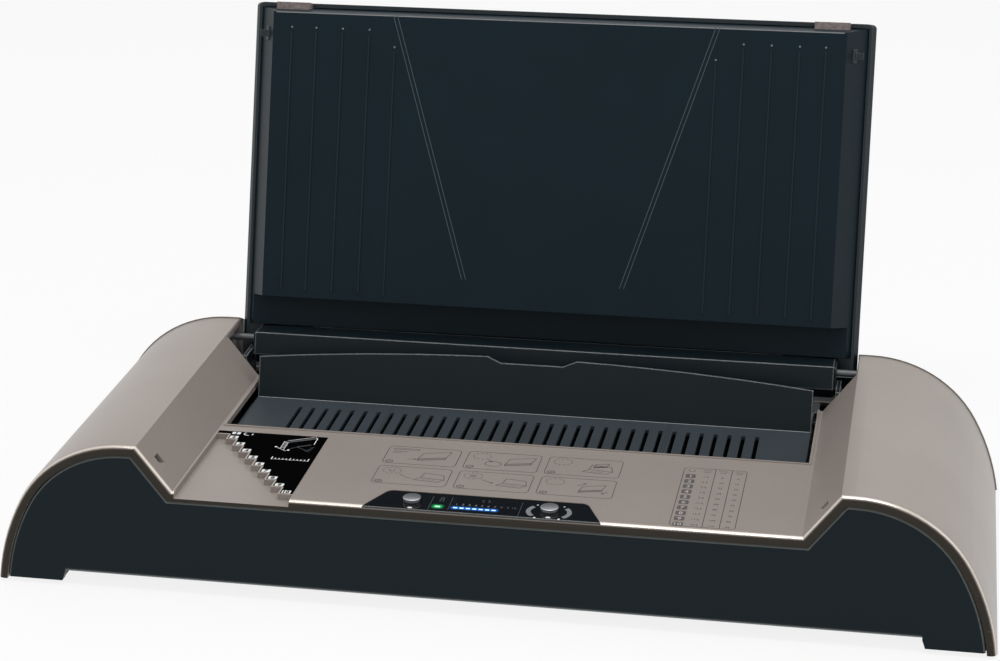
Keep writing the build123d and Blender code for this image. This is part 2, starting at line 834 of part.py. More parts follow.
def wall_top_edge():
    """The guide wall's arched top with its finger notch, as (x, z) edges."""
    crown_z = wall_end_z + wall_crown
    radius = (tray_half_width ** 2 + wall_crown ** 2) / (2 * wall_crown)

    def height(x):
        return crown_z - radius + sqrt(radius ** 2 - x ** 2)

    notch = finger_notch_width / 2
    inner = notch - finger_notch_slant
    low_z = height(notch) - finger_notch_depth
    mid_x = (notch + tray_half_width) / 2
    return {
        "left": ((-tray_half_width, wall_end_z), (-mid_x, height(mid_x)), (-notch, height(notch))),
        "floor": ((-inner, low_z), (inner, low_z)),
        "right": ((notch, height(notch)), (mid_x, height(mid_x)), (tray_half_width, wall_end_z)),
    }


def make_guide_wall():
    """The leaning wall at the tray's back, which holds the document from the front."""
    low_z = plate_top_z + wall_foot_gap
    tops = wall_top_edge()
    lift = 1 / cos(radians(wall_lean))

    def place(x, z):
        return (x, 0, tray_z + (z - tray_z) * lift)

    left, floor, right = tops["left"], tops["floor"], tops["right"]
    edges = [
        ThreePointArc(*[place(x, z) for x, z in left]),
        Line(place(*left[2]), place(*floor[0])),
        Line(place(*floor[0]), place(*floor[1])),
        Line(place(*floor[1]), place(*right[0])),
        ThreePointArc(*[place(x, z) for x, z in right]),
        Line(place(*right[2]), place(tray_half_width, low_z)),
        Line(place(tray_half_width, low_z), place(-tray_half_width, low_z)),
        Line(place(-tray_half_width, low_z), place(*left[0])),
    ]
    face = Face(Wire([edge.edge() for edge in edges]))
    sheet = extrude(face, amount=wall_thickness, dir=(0, 1, 0))
    leaned = Pos(0, fold_y, tray_z) * Rot(-wall_lean, 0, 0) * Pos(0, 0, -tray_z) * sheet
    outer_x = tray_half_width + overlap
    trim = block(-outer_x, outer_x, fold_y - tray_z, fold_y + tray_z, 0, low_z)
    corner = block(tray_half_width - tray_thickness, outer_x, fold_y - tray_z, fold_y + tray_z,
                   0, skirt_low_z())
    return leaned - trim - both_sides(corner)


def crown_section(half_width, edge_z, crown_z, low_half, bottom_z, y):
    """A low arched outline across the lid, low_half wide on each side at its bottom."""
    arch = ThreePointArc((-half_width, y, edge_z), (0, y, crown_z), (half_width, y, edge_z))
    sides = [Line((half_width, y, edge_z), (low_half, y, bottom_z)),
             Line((low_half, y, bottom_z), (-low_half, y, bottom_z)),
             Line((-low_half, y, bottom_z), (-half_width, y, edge_z))]
    return Face(Wire([arch.edge()] + [side.edge() for side in sides]))


def bumper_block(side, gap):
    """The space that a front bumper takes in the lid's edge."""
    half = bumper_width / 2 + gap
    return block(side * bumper_x - half, side * bumper_x + half, lid_front_y - bumper_proud - gap,
                 lid_front_y + bumper_depth + gap, lid_edge_z - bumper_height - gap,
                 lid_edge_z + lid_crown)


def lid_top_z(x, inset):
    """Height of the lid's arched outer skin, moved inwards by inset."""
    radius = (lid_half_width ** 2 + lid_crown ** 2) / (2 * lid_crown)
    return lid_edge_z + lid_crown - radius + sqrt((radius - inset) ** 2 - x ** 2)


def make_lid_outer_cover():
    """The lid's arched outer skin with its thin rim."""
    bottom_z = lid_edge_z - lid_rim_depth
    section = crown_section(lid_half_width, lid_edge_z, lid_edge_z + lid_crown,
                            lid_low_half, bottom_z, lid_front_y)
    outer = extrude(section, amount=lid_rear_y - lid_front_y, dir=(0, 1, 0))
    middle_z = bottom_z + lid_rim_depth / 2
    corners = outer.edges().filter_by(lambda edge: abs(edge.center().Z - middle_z) < seat_gap)
    outer = fillet(corners, lid_corner_round)
    half = lid_hollow_half
    section = crown_section(half, lid_top_z(half, lid_wall), lid_edge_z + lid_crown - lid_wall,
                            half, bottom_z - overlap, lid_front_y + lid_wall)
    inner = extrude(section, amount=lid_rear_y - lid_front_y - 2 * lid_wall, dir=(0, 1, 0))
    cover = outer - inner
    for side in (-1, 1):
        notch = bumper_block(side, seat_gap)
        notch -= block(-lid_half_width, lid_half_width, lid_front_y - cut_margin, lid_rear_y,
                       lid_edge_z + seat_gap, lid_edge_z + 2 * lid_crown)
        cover -= notch
    return cover


def panel_frustum(grow, face_z, top_z, rear_y):
    """The inner panel's body: a flat face with slanting side and front walls."""

    def rectangle(z):
        share = (z - lid_face_z) / (panel_top_z() - lid_face_z)
        half = lid_wall_x(z) + grow
        top_inset = lid_wall + seat_gap
        front = lid_front_y + panel_front_inset + share * (top_inset - panel_front_inset) - grow
        return Face(Wire(Polyline([(-half, front, z), (half, front, z), (half, rear_y, z),
                                   (-half, rear_y, z)], close=True).edges()))

    return loft([rectangle(face_z), rectangle(top_z)], ruled=True)


def under_arch(lift, y0, y1):
    """All that lies under the pocket's arched back, raised by lift."""
    section = crown_section(lid_half_width, pocket_side_z + lift, pocket_side_z + pocket_crown + lift,
                            lid_half_width, 0, y0)
    return extrude(section, amount=y1 - y0, dir=(0, 1, 0))


def make_lid_inner_panel():
    """The lid's inner panel, with an arched pocket at its root for the guide wall."""
    rear_y = hinge_y - beam_reach - seat_gap
    pocket_y = hinge_y - panel_end_reach
    top_z = panel_top_z()
    outer = panel_frustum(0, lid_face_z, top_z, rear_y)
    hollow = panel_frustum(-panel_wall, lid_face_z + panel_wall, top_z + overlap, rear_y + overlap)
    high = under_arch(panel_wall, pocket_y - panel_wall, rear_y)
    end_x = lid_wall_x(pocket_side_z + panel_wall)
    above = block(-end_x, end_x, pocket_y - panel_wall, rear_y, top_z, lid_top_z(0, 0))
    high = (high & outer) + (high & above)
    pocket = under_arch(0, pocket_y, rear_y + overlap)
    panel = (outer - hollow + high) - pocket
    for side in (-1, 1):
        panel -= bumper_block(side, seat_gap)
    return panel


def pocket_web_x():
    """Half-width of the part of the pocket's back that stands higher than the beam."""
    share = (lid_edge_z - lid_rim_depth - pocket_side_z) / pocket_crown
    return lid_half_width * sqrt(1 - share)


def crank_place():
    """The crank pin's place (y, z) with the lid shut."""
    turned = radians(lid_open_turn / 2)
    return hinge_y + crank_radius * sin(turned), hinge_z - crank_radius * cos(turned)


def make_hinge_beam():
    """The beam along the lid's root that holds the hinge pins and the crank pins."""
    top_z = lid_edge_z - lid_rim_depth
    face_z = lid_face_z
    tail_y = hinge_y + beam_tail
    points = [(hinge_y - beam_reach, top_z), (hinge_y - beam_ledge, face_z),
              (tail_y - beam_round, face_z), (tail_y, face_z + beam_round),
              (tail_y, top_z - beam_round), (tail_y - beam_round, top_z)]
    beam = prism_x(points, -beam_half_width, beam_half_width)
    ends = beam.edges().group_by(Axis.X)
    ends = ShapeList(list(ends[0]) + list(ends[-1]))
    beam = chamfer(ends.filter_by(lambda edge: edge.center().Z < top_z - screw_gap), beam_chamfer)
    web_y = hinge_y - beam_reach
    web = under_arch(-seat_gap, web_y, web_y + panel_wall)
    beam += web & block(-pocket_web_x(), pocket_web_x(), web_y, web_y + panel_wall,
                        top_z - overlap / 2, lid_top_z(0, 0))
    for side in (-1, 1):
        x0 = beam_half_width - pin_seat
        beam -= cross_bar(side * x0, side * (beam_half_width + overlap), hinge_y, hinge_z, pin_radius)
        beam += cross_bar(side * x0, side * crank_end_x(), *crank_place(), crank_pin_radius)
    return beam


def crank_end_x():
    """Where the crank pins end, just through the ears of the tray's arms."""
    return ear_x + ear_thickness + crank_end_gap


def make_hinge_pin(side):
    """A steel pin, fixed in the lid's beam and turning in the bracket."""
    x0 = beam_half_width - pin_seat
    pin = cross_bar(x0, pin_end_x, hinge_y, hinge_z, pin_radius)
    return pin if side > 0 else pin.mirror(Plane.YZ)


def make_hinge_bracket(side):
    """The upright in the arm that carries the lid's pin, with a foot and a rib."""
    x0 = bracket_x
    top_z = hinge_z + 2.5 * pin_radius
    y0 = hinge_y - bracket_half_length
    y1 = shell_depth - seat_gap
    plate = block(x0, x0 + bracket_thickness, y0, y1, floor_top_z, top_z)
    plate -= cross_bar(x0 - overlap, x0 + bracket_thickness + overlap, hinge_y, hinge_z,
                       pin_radius + running_gap)
    plate += block(x0, x0 + 3 * bracket_thickness, y0, y1, floor_top_z, floor_top_z + floor_thickness)
    plate += block(x0 + bracket_thickness, x0 + 2 * bracket_thickness, y0, y0 + bracket_thickness / 2,
                   floor_top_z, hinge_z - 5 * pin_radius)
    return plate if side > 0 else plate.mirror(Plane.YZ)


def make_lid_bumper(side):
    """A soft clear bumper let into the lid's front edge."""
    pad = bumper_block(side, 0)
    return pad - block(-lid_half_width, lid_half_width, lid_front_y - cut_margin, lid_rear_y,
                       lid_edge_z, lid_edge_z + 2 * lid_crown)


def make_gauge_plate():
    """The black plate with the stepped edge of the thickness gauge."""
    gap = screw_gap
    outline = gauge_outline(gauge_plate_inset + gap)
    outline[0] = (-gauge_left_x + gap, outline[0][1])
    outline[-1] = (-gauge_right_x - gap, outline[-1][1])
    back = [(-gauge_right_x - gap, gauge_back_y - gap), (-gauge_left_x + gap, gauge_back_y - gap)]
    return prism_z(outline + back, deck_z - gauge_plate_thickness, deck_z)


def light_centres():
    """Middle of each lamp of the thickness scale."""
    return [first_light_x + index * light_pitch for index in range(light_count)]


def lens_windows(grow, z0, z1):
    """The holes for the lamps, or the lamps' own lenses."""
    windows = []
    for x in light_centres():
        windows.append(block(x - light_length / 2 - grow, x + light_length / 2 + grow,
                             light_y - light_width / 2 - grow, light_y + light_width / 2 + grow, z0, z1))
    return windows


def ready_window(grow, z0, z1):
    """The hole for the ready lamp, or the lamp's own lens."""
    return block(ready_x - ready_length / 2 - grow, ready_x + ready_length / 2 + grow,
                 light_y - ready_width / 2 - grow, light_y + ready_width / 2 + grow, z0, z1)


def make_control_lens():
    """The black lens plate of the control panel."""
    top = deck_z - lens_drop
    lens = control_plate(0, top - lens_thickness, top)
    front = lens.edges().group_by(Axis.Z)[-1].group_by(Axis.Y)[0]
    lens = fillet(front, lens_front_round)
    low, high = top - cut_margin, top + overlap
    for x in (power_x, selector_x):
        lens -= post(x, button_y, low, high, cap_radius + cap_gap)
    for window in lens_windows(lamp_gap, low, high) + [ready_window(lamp_gap, low, high)]:
        lens -= window
    return lens


def make_panel_carrier():
    """The frame under the lens that seats on the deck's underside."""
    top = deck_z - lens_drop - lens_thickness
    flange_top = deck_z - shell_wall
    carrier = control_plate(-lens_gap, flange_top - carrier_thickness, top)
    carrier += control_plate(carrier_flange, flange_top - carrier_thickness, flange_top)
    carrier -= block(-deck_half_width, deck_half_width, -cut_margin, fascia_back_y + seat_gap,
                     0, flange_top)
    for x in (power_x, selector_x):
        carrier -= post(x, button_y, 0, deck_z, cap_radius + cap_gap)
    for window in lens_windows(lamp_gap, 0, deck_z) + [ready_window(lamp_gap, 0, deck_z)]:
        carrier -= window
    return carrier


def board_top_z():
    """Top of the control board."""
    return deck_z - board_drop


def cap(x):
    """A low domed cap with a skirt that stands in the lens."""
    top = deck_z + cap_height
    body = post(x, button_y, deck_z - cap_skirt, top, cap_radius)
    rim = body.edges().group_by(Axis.Z)[-1]
    return fillet(rim, cap_height * 0.8)


def make_power_button():
    """The power button: a domed cap and a stem down to its switch."""
    low_z = switch_top_z() + button_travel + running_gap
    stem = post(power_x, button_y, low_z, deck_z - cap_skirt, stem_radius)
    return cap(power_x) + stem


def switch_top_z():
    """Top of the power switch's body."""
    return board_top_z() + switch_height


def make_power_switch():
    """The switch under the power button."""
    half = switch_size / 2
    return block(power_x - half, power_x + half, button_y - half, button_y + half,
                 board_top_z(), switch_top_z())


def make_selector_knob():
    """The turning selector: the same cap with a grip groove and a shaft."""
    shaft = post(selector_x, button_y, encoder_top_z() + running_gap, deck_z - cap_skirt, stem_radius)
    knob = cap(selector_x) + shaft
    top_z = deck_z + cap_height
    groove = block(selector_x - grip_width / 2, selector_x + grip_width / 2,
                   button_y + grip_width, button_y + cap_radius + overlap,
                   top_z - grip_depth, top_z + overlap)
    return knob - groove


def encoder_top_z():
    """Top of the selector's encoder."""
    return board_top_z() + encoder_height


def make_selector_encoder():
    """The rotary encoder under the selector."""
    half = encoder_size / 2
    return block(selector_x - half, selector_x + half, button_y - half + overlap, button_y + half,
                 board_top_z(), encoder_top_z())


def make_scale_lights():
    """The lamps of the thickness scale, each standing from the board to the lens."""
    return Compound(children=lens_windows(0, board_top_z(), deck_z - lens_drop))


def make_ready_light():
    """The ready lamp."""
    return ready_window(0, board_top_z(), deck_z - lens_drop)


def make_control_board():
    """The circuit board under the control panel."""
    board = block(-board_half_length, board_half_length, board_front_y, board_front_y + board_depth,
                  board_top_z() - board_thickness, board_top_z())
    for x, y in board_screw_positions():
        board -= post(x, y, 0, deck_z, screw_radius + screw_gap)
    return board


def screws_up(positions, seat_z, length):
    """Screws whose heads sit under seat_z and whose shanks point up."""
    pieces = []
    for x, y in positions:
        head = post(x, y, seat_z - screw_head_height, seat_z, screw_head_radius)
        pieces.append(head + post(x, y, seat_z, seat_z + length, screw_radius))
    return Compound(children=pieces)


def make_board_screws():
    """Four screws that hold the control board to the deck."""
    return screws_up(board_screw_positions(), board_top_z() - board_thickness, board_screw_length)


def make_base_screws():
    """The screws that close the base."""
    seat = underside_z + screw_head_height / 2 - screw_gap
    return screws_up(casing_screw_positions() + rear_screw_positions(), seat, base_screw_length)


def rear_screw_positions():
    """Where the base is screwed up into the rear cover."""
    y = rear_end_y - rear_boss_inset
    return [(x, y) for x in (-boss_x, -rear_boss_x, rear_boss_x, boss_x)]


def rear_body(grow, y0, y1, ledge_z, bottom_z):
    """The rear cover's body: the casing's sinking arms and a low ledge between them."""
    inner_x = slant_x(arm_top_z) - grow
    body = sinking_solid(-grow, bottom_z, y0, y1)
    body -= block(-inner_x, inner_x, y0 - overlap, y1 + overlap, ledge_z, 2 * arm_top_z)
    return body + block(-inner_x, inner_x, y0, y1, ledge_z - 2 * rear_fall, ledge_z)


def make_rear_cover():
    """The dark rear cover with the hinge bay, vents and inlet opening."""
    outer = rear_body(rear_proud, shell_depth + seat_gap, rear_end_y, rear_ledge_z, 0)
    inner_x = slant_x(arm_top_z) - rear_proud
    back = outer.edges().filter_by_position(Axis.Y, rear_end_y - seat_gap, rear_end_y + seat_gap)
    rims = back.filter_by(lambda edge: edge.center().Z > overlap)
    arms = rims.filter_by(lambda edge: abs(edge.center().X) > inner_x + seat_gap / 3)
    outer = fillet(arms, rear_round)
    hollow = rear_body(rear_proud - rear_wall, shell_depth - overlap, rear_end_y - rear_wall,
                       rear_ledge_z - rear_wall, -cut_margin)
    bay_back_y = rear_end_y - rear_ledge_depth
    bay = block(-inner_x, inner_x, shell_depth - overlap, bay_back_y, bay_floor_z, 2 * arm_top_z)
    bay_skin = block(-inner_x, inner_x, shell_depth + seat_gap, bay_back_y + rear_wall,
                     bay_floor_z - rear_wall, rear_ledge_z - rear_wall / 2)
    cover = (outer - hollow) + bay_skin - bay
    vent_z = underside_z + rear_vent_low
    for index in range(-rear_vent_half, rear_vent_half + 1):
        x = index * rear_vent_pitch
        cover -= block(x - rear_vent_width / 2, x + rear_vent_width / 2,
                       rear_end_y - 2 * rear_wall, rear_end_y + overlap,
                       vent_z, vent_z + rear_vent_height)
    half_x = inlet_width / 2 + inlet_gap
    half_z = inlet_height / 2 + inlet_gap
    cover -= block(inlet_x - half_x, inlet_x + half_x, rear_end_y - 3 * rear_wall, rear_end_y + overlap,
                   inlet_z - half_z, inlet_z + half_z)
    for x, y in rear_screw_positions():
        top = bay_floor_z - rear_wall
        boss = post(x, y, floor_top_z, top, boss_radius)
        boss += block(x - overlap, x + overlap, y, rear_end_y - overlap, floor_top_z, top - rear_fall)
        cover += boss
        cover -= screw_hole(x, y, floor_top_z, base_screw_length)
    return cover - level_cut(casing_clearance - overlap)


def make_power_inlet():
    """The mains inlet: an open box with three blades."""
    y0 = rear_end_y - inlet_depth
    face_y = rear_end_y + inlet_flange_thickness
    half_x, half_z = inlet_width / 2, inlet_height / 2
    body = block(inlet_x - half_x, inlet_x + half_x, y0, face_y, inlet_z - half_z, inlet_z + half_z)
    body += block(inlet_x - half_x - inlet_flange, inlet_x + half_x + inlet_flange, rear_end_y, face_y,
                  inlet_z - half_z - inlet_flange, inlet_z + half_z + inlet_flange)
    body -= block(inlet_x - half_x + inlet_wall, inlet_x + half_x - inlet_wall, y0 + inlet_wall,
                  face_y + overlap, inlet_z - half_z + inlet_wall, inlet_z + half_z - inlet_wall)
    for blade in inlet_blade_list():
        body -= blade
    return body


def inlet_blade_list():
    """The inlet's three contact blades, which pass through its back wall."""
    y0 = rear_end_y - inlet_depth
    blades = []
    for dx, dz in blade_places:
        x, z = inlet_x + dx, inlet_z + dz
        blades.append(block(x - blade_width / 2, x + blade_width / 2,
                            y0 - blade_tail, y0 + inlet_wall + blade_length,
                            z - blade_height / 2, z + blade_height / 2))
    return blades


def make_inlet_blades():
    """The three blades as one piece of hardware."""
    return Compound(children=inlet_blade_list())


def mains_post_positions():
    """Posts that carry the mains board in the right arm."""
    x = mains_board_width / 2 - board_screw_inset
    y = mains_board_length / 2 - board_screw_inset
    return [(mains_board_x + dx, mains_board_y + dy) for dx in (-x, x) for dy in (-y, y)]


def mains_top_z():
    """Top of the mains board."""
    return floor_top_z + mains_board_lift + board_thickness


def make_mains_board():
    """The mains circuit board."""
    board = block(mains_board_x - mains_board_width / 2, mains_board_x + mains_board_width / 2,
                  mains_board_y - mains_board_length / 2, mains_board_y + mains_board_length / 2,
                  mains_top_z() - board_thickness, mains_top_z())
    for x, y in mains_post_positions():
        board -= post(x, y, 0, deck_z, screw_radius + screw_gap)
    return board


def board_part(size, dx, dy, z0):
    """A block of the given size that stands on the mains board, dx and dy from its middle."""
    length, width, height = size
    x, y = mains_board_x + dx, mains_board_y + dy
    return block(x - length / 2, x + length / 2, y - width / 2, y + width / 2, z0, z0 + height)


def make_transformer():
    """The small transformer on the mains board."""
    core = board_part(core_size, 0, core_shift, mains_top_z())
    return core + board_part(winding_size, 0, core_shift, mains_top_z() + core_size[2])


def make_heater_relay():
    """The relay that switches the heater."""
    return board_part(relay_size, *relay_shift, mains_top_z())


def make_filter_capacitors():
    """Two round capacitors on the mains board."""
    z0 = mains_top_z()
    x = mains_board_x + capacitor_x
    pieces = [post(x, mains_board_y + y, z0, z0 + capacitor_height, capacitor_radius) for y in capacitor_y]
    return Compound(children=pieces)


def make_mains_screws():
    """Four screws that hold the mains board."""
    pieces = []
    top = mains_top_z()
    for x, y in mains_post_positions():
        pieces.append(post(x, y, top, top + screw_head_height, screw_head_radius - seat_gap)
                      + post(x, y, top - board_screw_length, top, screw_radius))
    return Compound(children=pieces)


def make_rubber_feet():
    """Four round feet, level with each other on the ground."""
    feet = []
    for side in (-1, 1):
        for y in (front_foot_y, rear_foot_y):
            foot = Pos(side * foot_x, y, casing_clearance / 2) * Cylinder(foot_radius, casing_clearance)
            feet.append(chamfer(foot.edges().group_by(Axis.Z)[0], foot_chamfer))
    return Compound(children=feet)


def opened(piece):
    """The lid's pieces, turned from shut to open about the hinge."""
    return Pos(0, hinge_y, hinge_z) * Rot(-lid_open_turn, 0, 0) * Pos(0, -hinge_y, -hinge_z) * piece


def leaned(piece):
    """A piece of the sloping frame, placed on the ground."""
    return Rot(-deck_slope, 0, 0) * piece


def build_machine():
    """Every piece by name, placed on the ground with the lid open."""
    fixed = {
        "top_shell": make_top_shell(),
        "front_fascia": make_front_fascia(),
        "base_tray": make_base(),
        "rear_cover": make_rear_cover(),
        "gauge_plate": make_gauge_plate(),
        "control_lens": make_control_lens(),
        "panel_carrier": make_panel_carrier(),
        "control_board": make_control_board(),
        "board_screws": make_board_screws(),
        "power_switch": make_power_switch(),
        "selector_encoder": make_selector_encoder(),
        "ready_light": make_ready_light(),
        "scale_lights": make_scale_lights(),
        "left_tray_rail": make_tray_rail(-1),
        "right_tray_rail": make_tray_rail(1),
        "rear_guide": make_rear_guide(),
        "heating_plate": make_heating_plate(),
        "heater_element": make_heater_element(),
        "insulation_board": make_insulation(),
        "heat_shield": make_heat_shield(),
        "thermal_fuse": make_thermal_fuse(),
        "temperature_sensor": make_temperature_sensor(),
        "left_hinge_bracket": make_hinge_bracket(-1),
        "right_hinge_bracket": make_hinge_bracket(1),
        "mains_board": make_mains_board(),
        "mains_screws": make_mains_screws(),
        "transformer": make_transformer(),
        "heater_relay": make_heater_relay(),
        "filter_capacitors": make_filter_capacitors(),
        "power_inlet": make_power_inlet(),
        "inlet_blades": make_inlet_blades(),
        "base_screws": make_base_screws(),
    }
    moving = {
        "power_button": make_power_button(),
        "selector_knob": make_selector_knob(),
        "document_tray": make_document_tray(),
        "guide_wall": make_guide_wall(),
        "left_tray_arm": make_tray_arm(-1),
        "right_tray_arm": make_tray_arm(1),
    }
    lid = {
        "lid_outer_cover": make_lid_outer_cover(),
        "lid_inner_panel": make_lid_inner_panel(),
        "hinge_beam": make_hinge_beam(),
        "left_hinge_pin": make_hinge_pin(-1),
        "right_hinge_pin": make_hinge_pin(1),
        "left_latch_peg": make_latch_peg(-1),
        "right_latch_peg": make_latch_peg(1),
        "left_bumper": make_lid_bumper(-1),
        "right_bumper": make_lid_bumper(1),
    }
    pieces = {name: leaned(piece) for name, piece in {**fixed, **moving}.items()}
    pieces.update({name: leaned(opened(piece)) for name, piece in lid.items()})
    pieces["rubber_feet"] = make_rubber_feet()
    return pieces


def centring(pieces):
    """The move that puts the machine's footprint centre at the origin."""
    boxes = [piece.bounding_box() for piece in pieces.values()]
    low = Vector(*[min(getattr(box.min, axis) for box in boxes) for axis in "XYZ"])
    high = Vector(*[max(getattr(box.max, axis) for box in boxes) for axis in "XYZ"])
    return Vector(-(low.X + high.X) / 2, -(low.Y + high.Y) / 2, -low.Z)


def main():
    """Build every piece and write it to its own file."""
    os.makedirs("parts", exist_ok=True)
    pieces = build_machine()
    shift = centring(pieces)
    for name, piece in pieces.items():
        export_step(Pos(shift) * piece, f"parts/{name}.step")


main()
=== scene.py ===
"""Finishes, printed marks and fine pieces of the thermal binding machine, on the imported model.

The casing and its prints are laid out in the machine's sloping frame, in mm: x runs across,
y runs back from the front edge, and z is square to the deck, which lies at DECK_Z. Prints lie
PRINT_LIFT over the surface that they are on, figures on a printed patch OVERPRINT higher, and
the windows over lamps UNDERPRINT lower. The lid's fine pieces are laid out with the lid shut,
and its matrix opens them about LID_HINGE, given as its y and z. Everything is in metres once it
is placed.
"""

import json
import logging
import math
from dataclasses import dataclass, field
from enum import Enum
from typing import Any, Iterable, Sequence

import bpy
from mathutils import Matrix, Vector


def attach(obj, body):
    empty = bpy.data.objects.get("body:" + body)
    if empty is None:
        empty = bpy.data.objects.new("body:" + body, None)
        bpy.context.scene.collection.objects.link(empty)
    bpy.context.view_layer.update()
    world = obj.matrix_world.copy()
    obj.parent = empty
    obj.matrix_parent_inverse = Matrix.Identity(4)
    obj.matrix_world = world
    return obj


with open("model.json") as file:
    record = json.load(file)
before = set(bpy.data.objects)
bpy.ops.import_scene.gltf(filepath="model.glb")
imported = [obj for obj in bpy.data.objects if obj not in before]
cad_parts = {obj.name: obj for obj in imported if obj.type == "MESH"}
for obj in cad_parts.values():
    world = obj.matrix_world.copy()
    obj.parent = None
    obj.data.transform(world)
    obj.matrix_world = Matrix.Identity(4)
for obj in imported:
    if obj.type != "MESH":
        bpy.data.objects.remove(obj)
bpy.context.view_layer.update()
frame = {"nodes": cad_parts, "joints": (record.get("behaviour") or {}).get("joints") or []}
log = logging.getLogger("binder")

MM = 0.001
Point2 = tuple[float, float]
Point3 = tuple[float, float, float]
Colour = tuple[float, float, float]

DECK_Z = 60.2
PRINT_LIFT = 0.04
OVERPRINT = 0.03
UNDERPRINT = 0.01
LID_HINGE: Point2 = (194.9, 75.2)


class Body(Enum):
    """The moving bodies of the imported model."""

    CASING = "casing"
    LID = "lid"
    TRAY = "tray_carriage"
    POWER = "power_button"
    SELECTOR = "selector"


class Facing(Enum):
    """Which way a flat print looks in its own frame."""

    UP = 1
    DOWN = -1


# ---------------------------------------------------------------- shader nodes


class Signal:
    """A shader socket that takes part in Python expressions on numbers."""

    def __init__(self, graph: "Graph", socket: bpy.types.NodeSocket) -> None:
        """Wraps one output socket of a graph."""
        self.graph = graph
        self.socket = socket

    def _pair(self, operation: str, first: Any, second: Any) -> "Signal":
        """Adds a Math node on two values."""
        return self.graph.node("ShaderNodeMath", {"operation": operation}, {0: first, 1: second})

    def __add__(self, other: Any) -> "Signal":
        """The sum."""
        return self._pair("ADD", self, other)

    def __sub__(self, other: Any) -> "Signal":
        """The difference."""
        return self._pair("SUBTRACT", self, other)

    def __rsub__(self, other: Any) -> "Signal":
        """The difference from a number."""
        return self._pair("SUBTRACT", other, self)

    def __mul__(self, other: Any) -> "Signal":
        """The product."""
        return self._pair("MULTIPLY", self, other)

    def __truediv__(self, other: Any) -> "Signal":
        """The quotient."""
        return self._pair("DIVIDE", self, other)

    __radd__ = __add__
    __rmul__ = __mul__

    def power(self, exponent: float) -> "Signal":
        """The value to a power."""
        return self._pair("POWER", self, exponent)

    def size(self) -> "Signal":
        """The value without its sign."""
        return self._pair("ABSOLUTE", self, 0.0)

    def least(self, other: Any) -> "Signal":
        """The smaller of two values."""
        return self._pair("MINIMUM", self, other)

    def most(self, other: Any) -> "Signal":
        """The larger of two values."""
        return self._pair("MAXIMUM", self, other)

    def ramp(self, low: float, high: float) -> "Signal":
        """The value's way from low to high, kept between 0 and 1."""
        sockets = {0: self, 1: low, 2: high, 3: 0.0, 4: 1.0}
        return self.graph.node("ShaderNodeMapRange", {"clamp": True}, sockets)


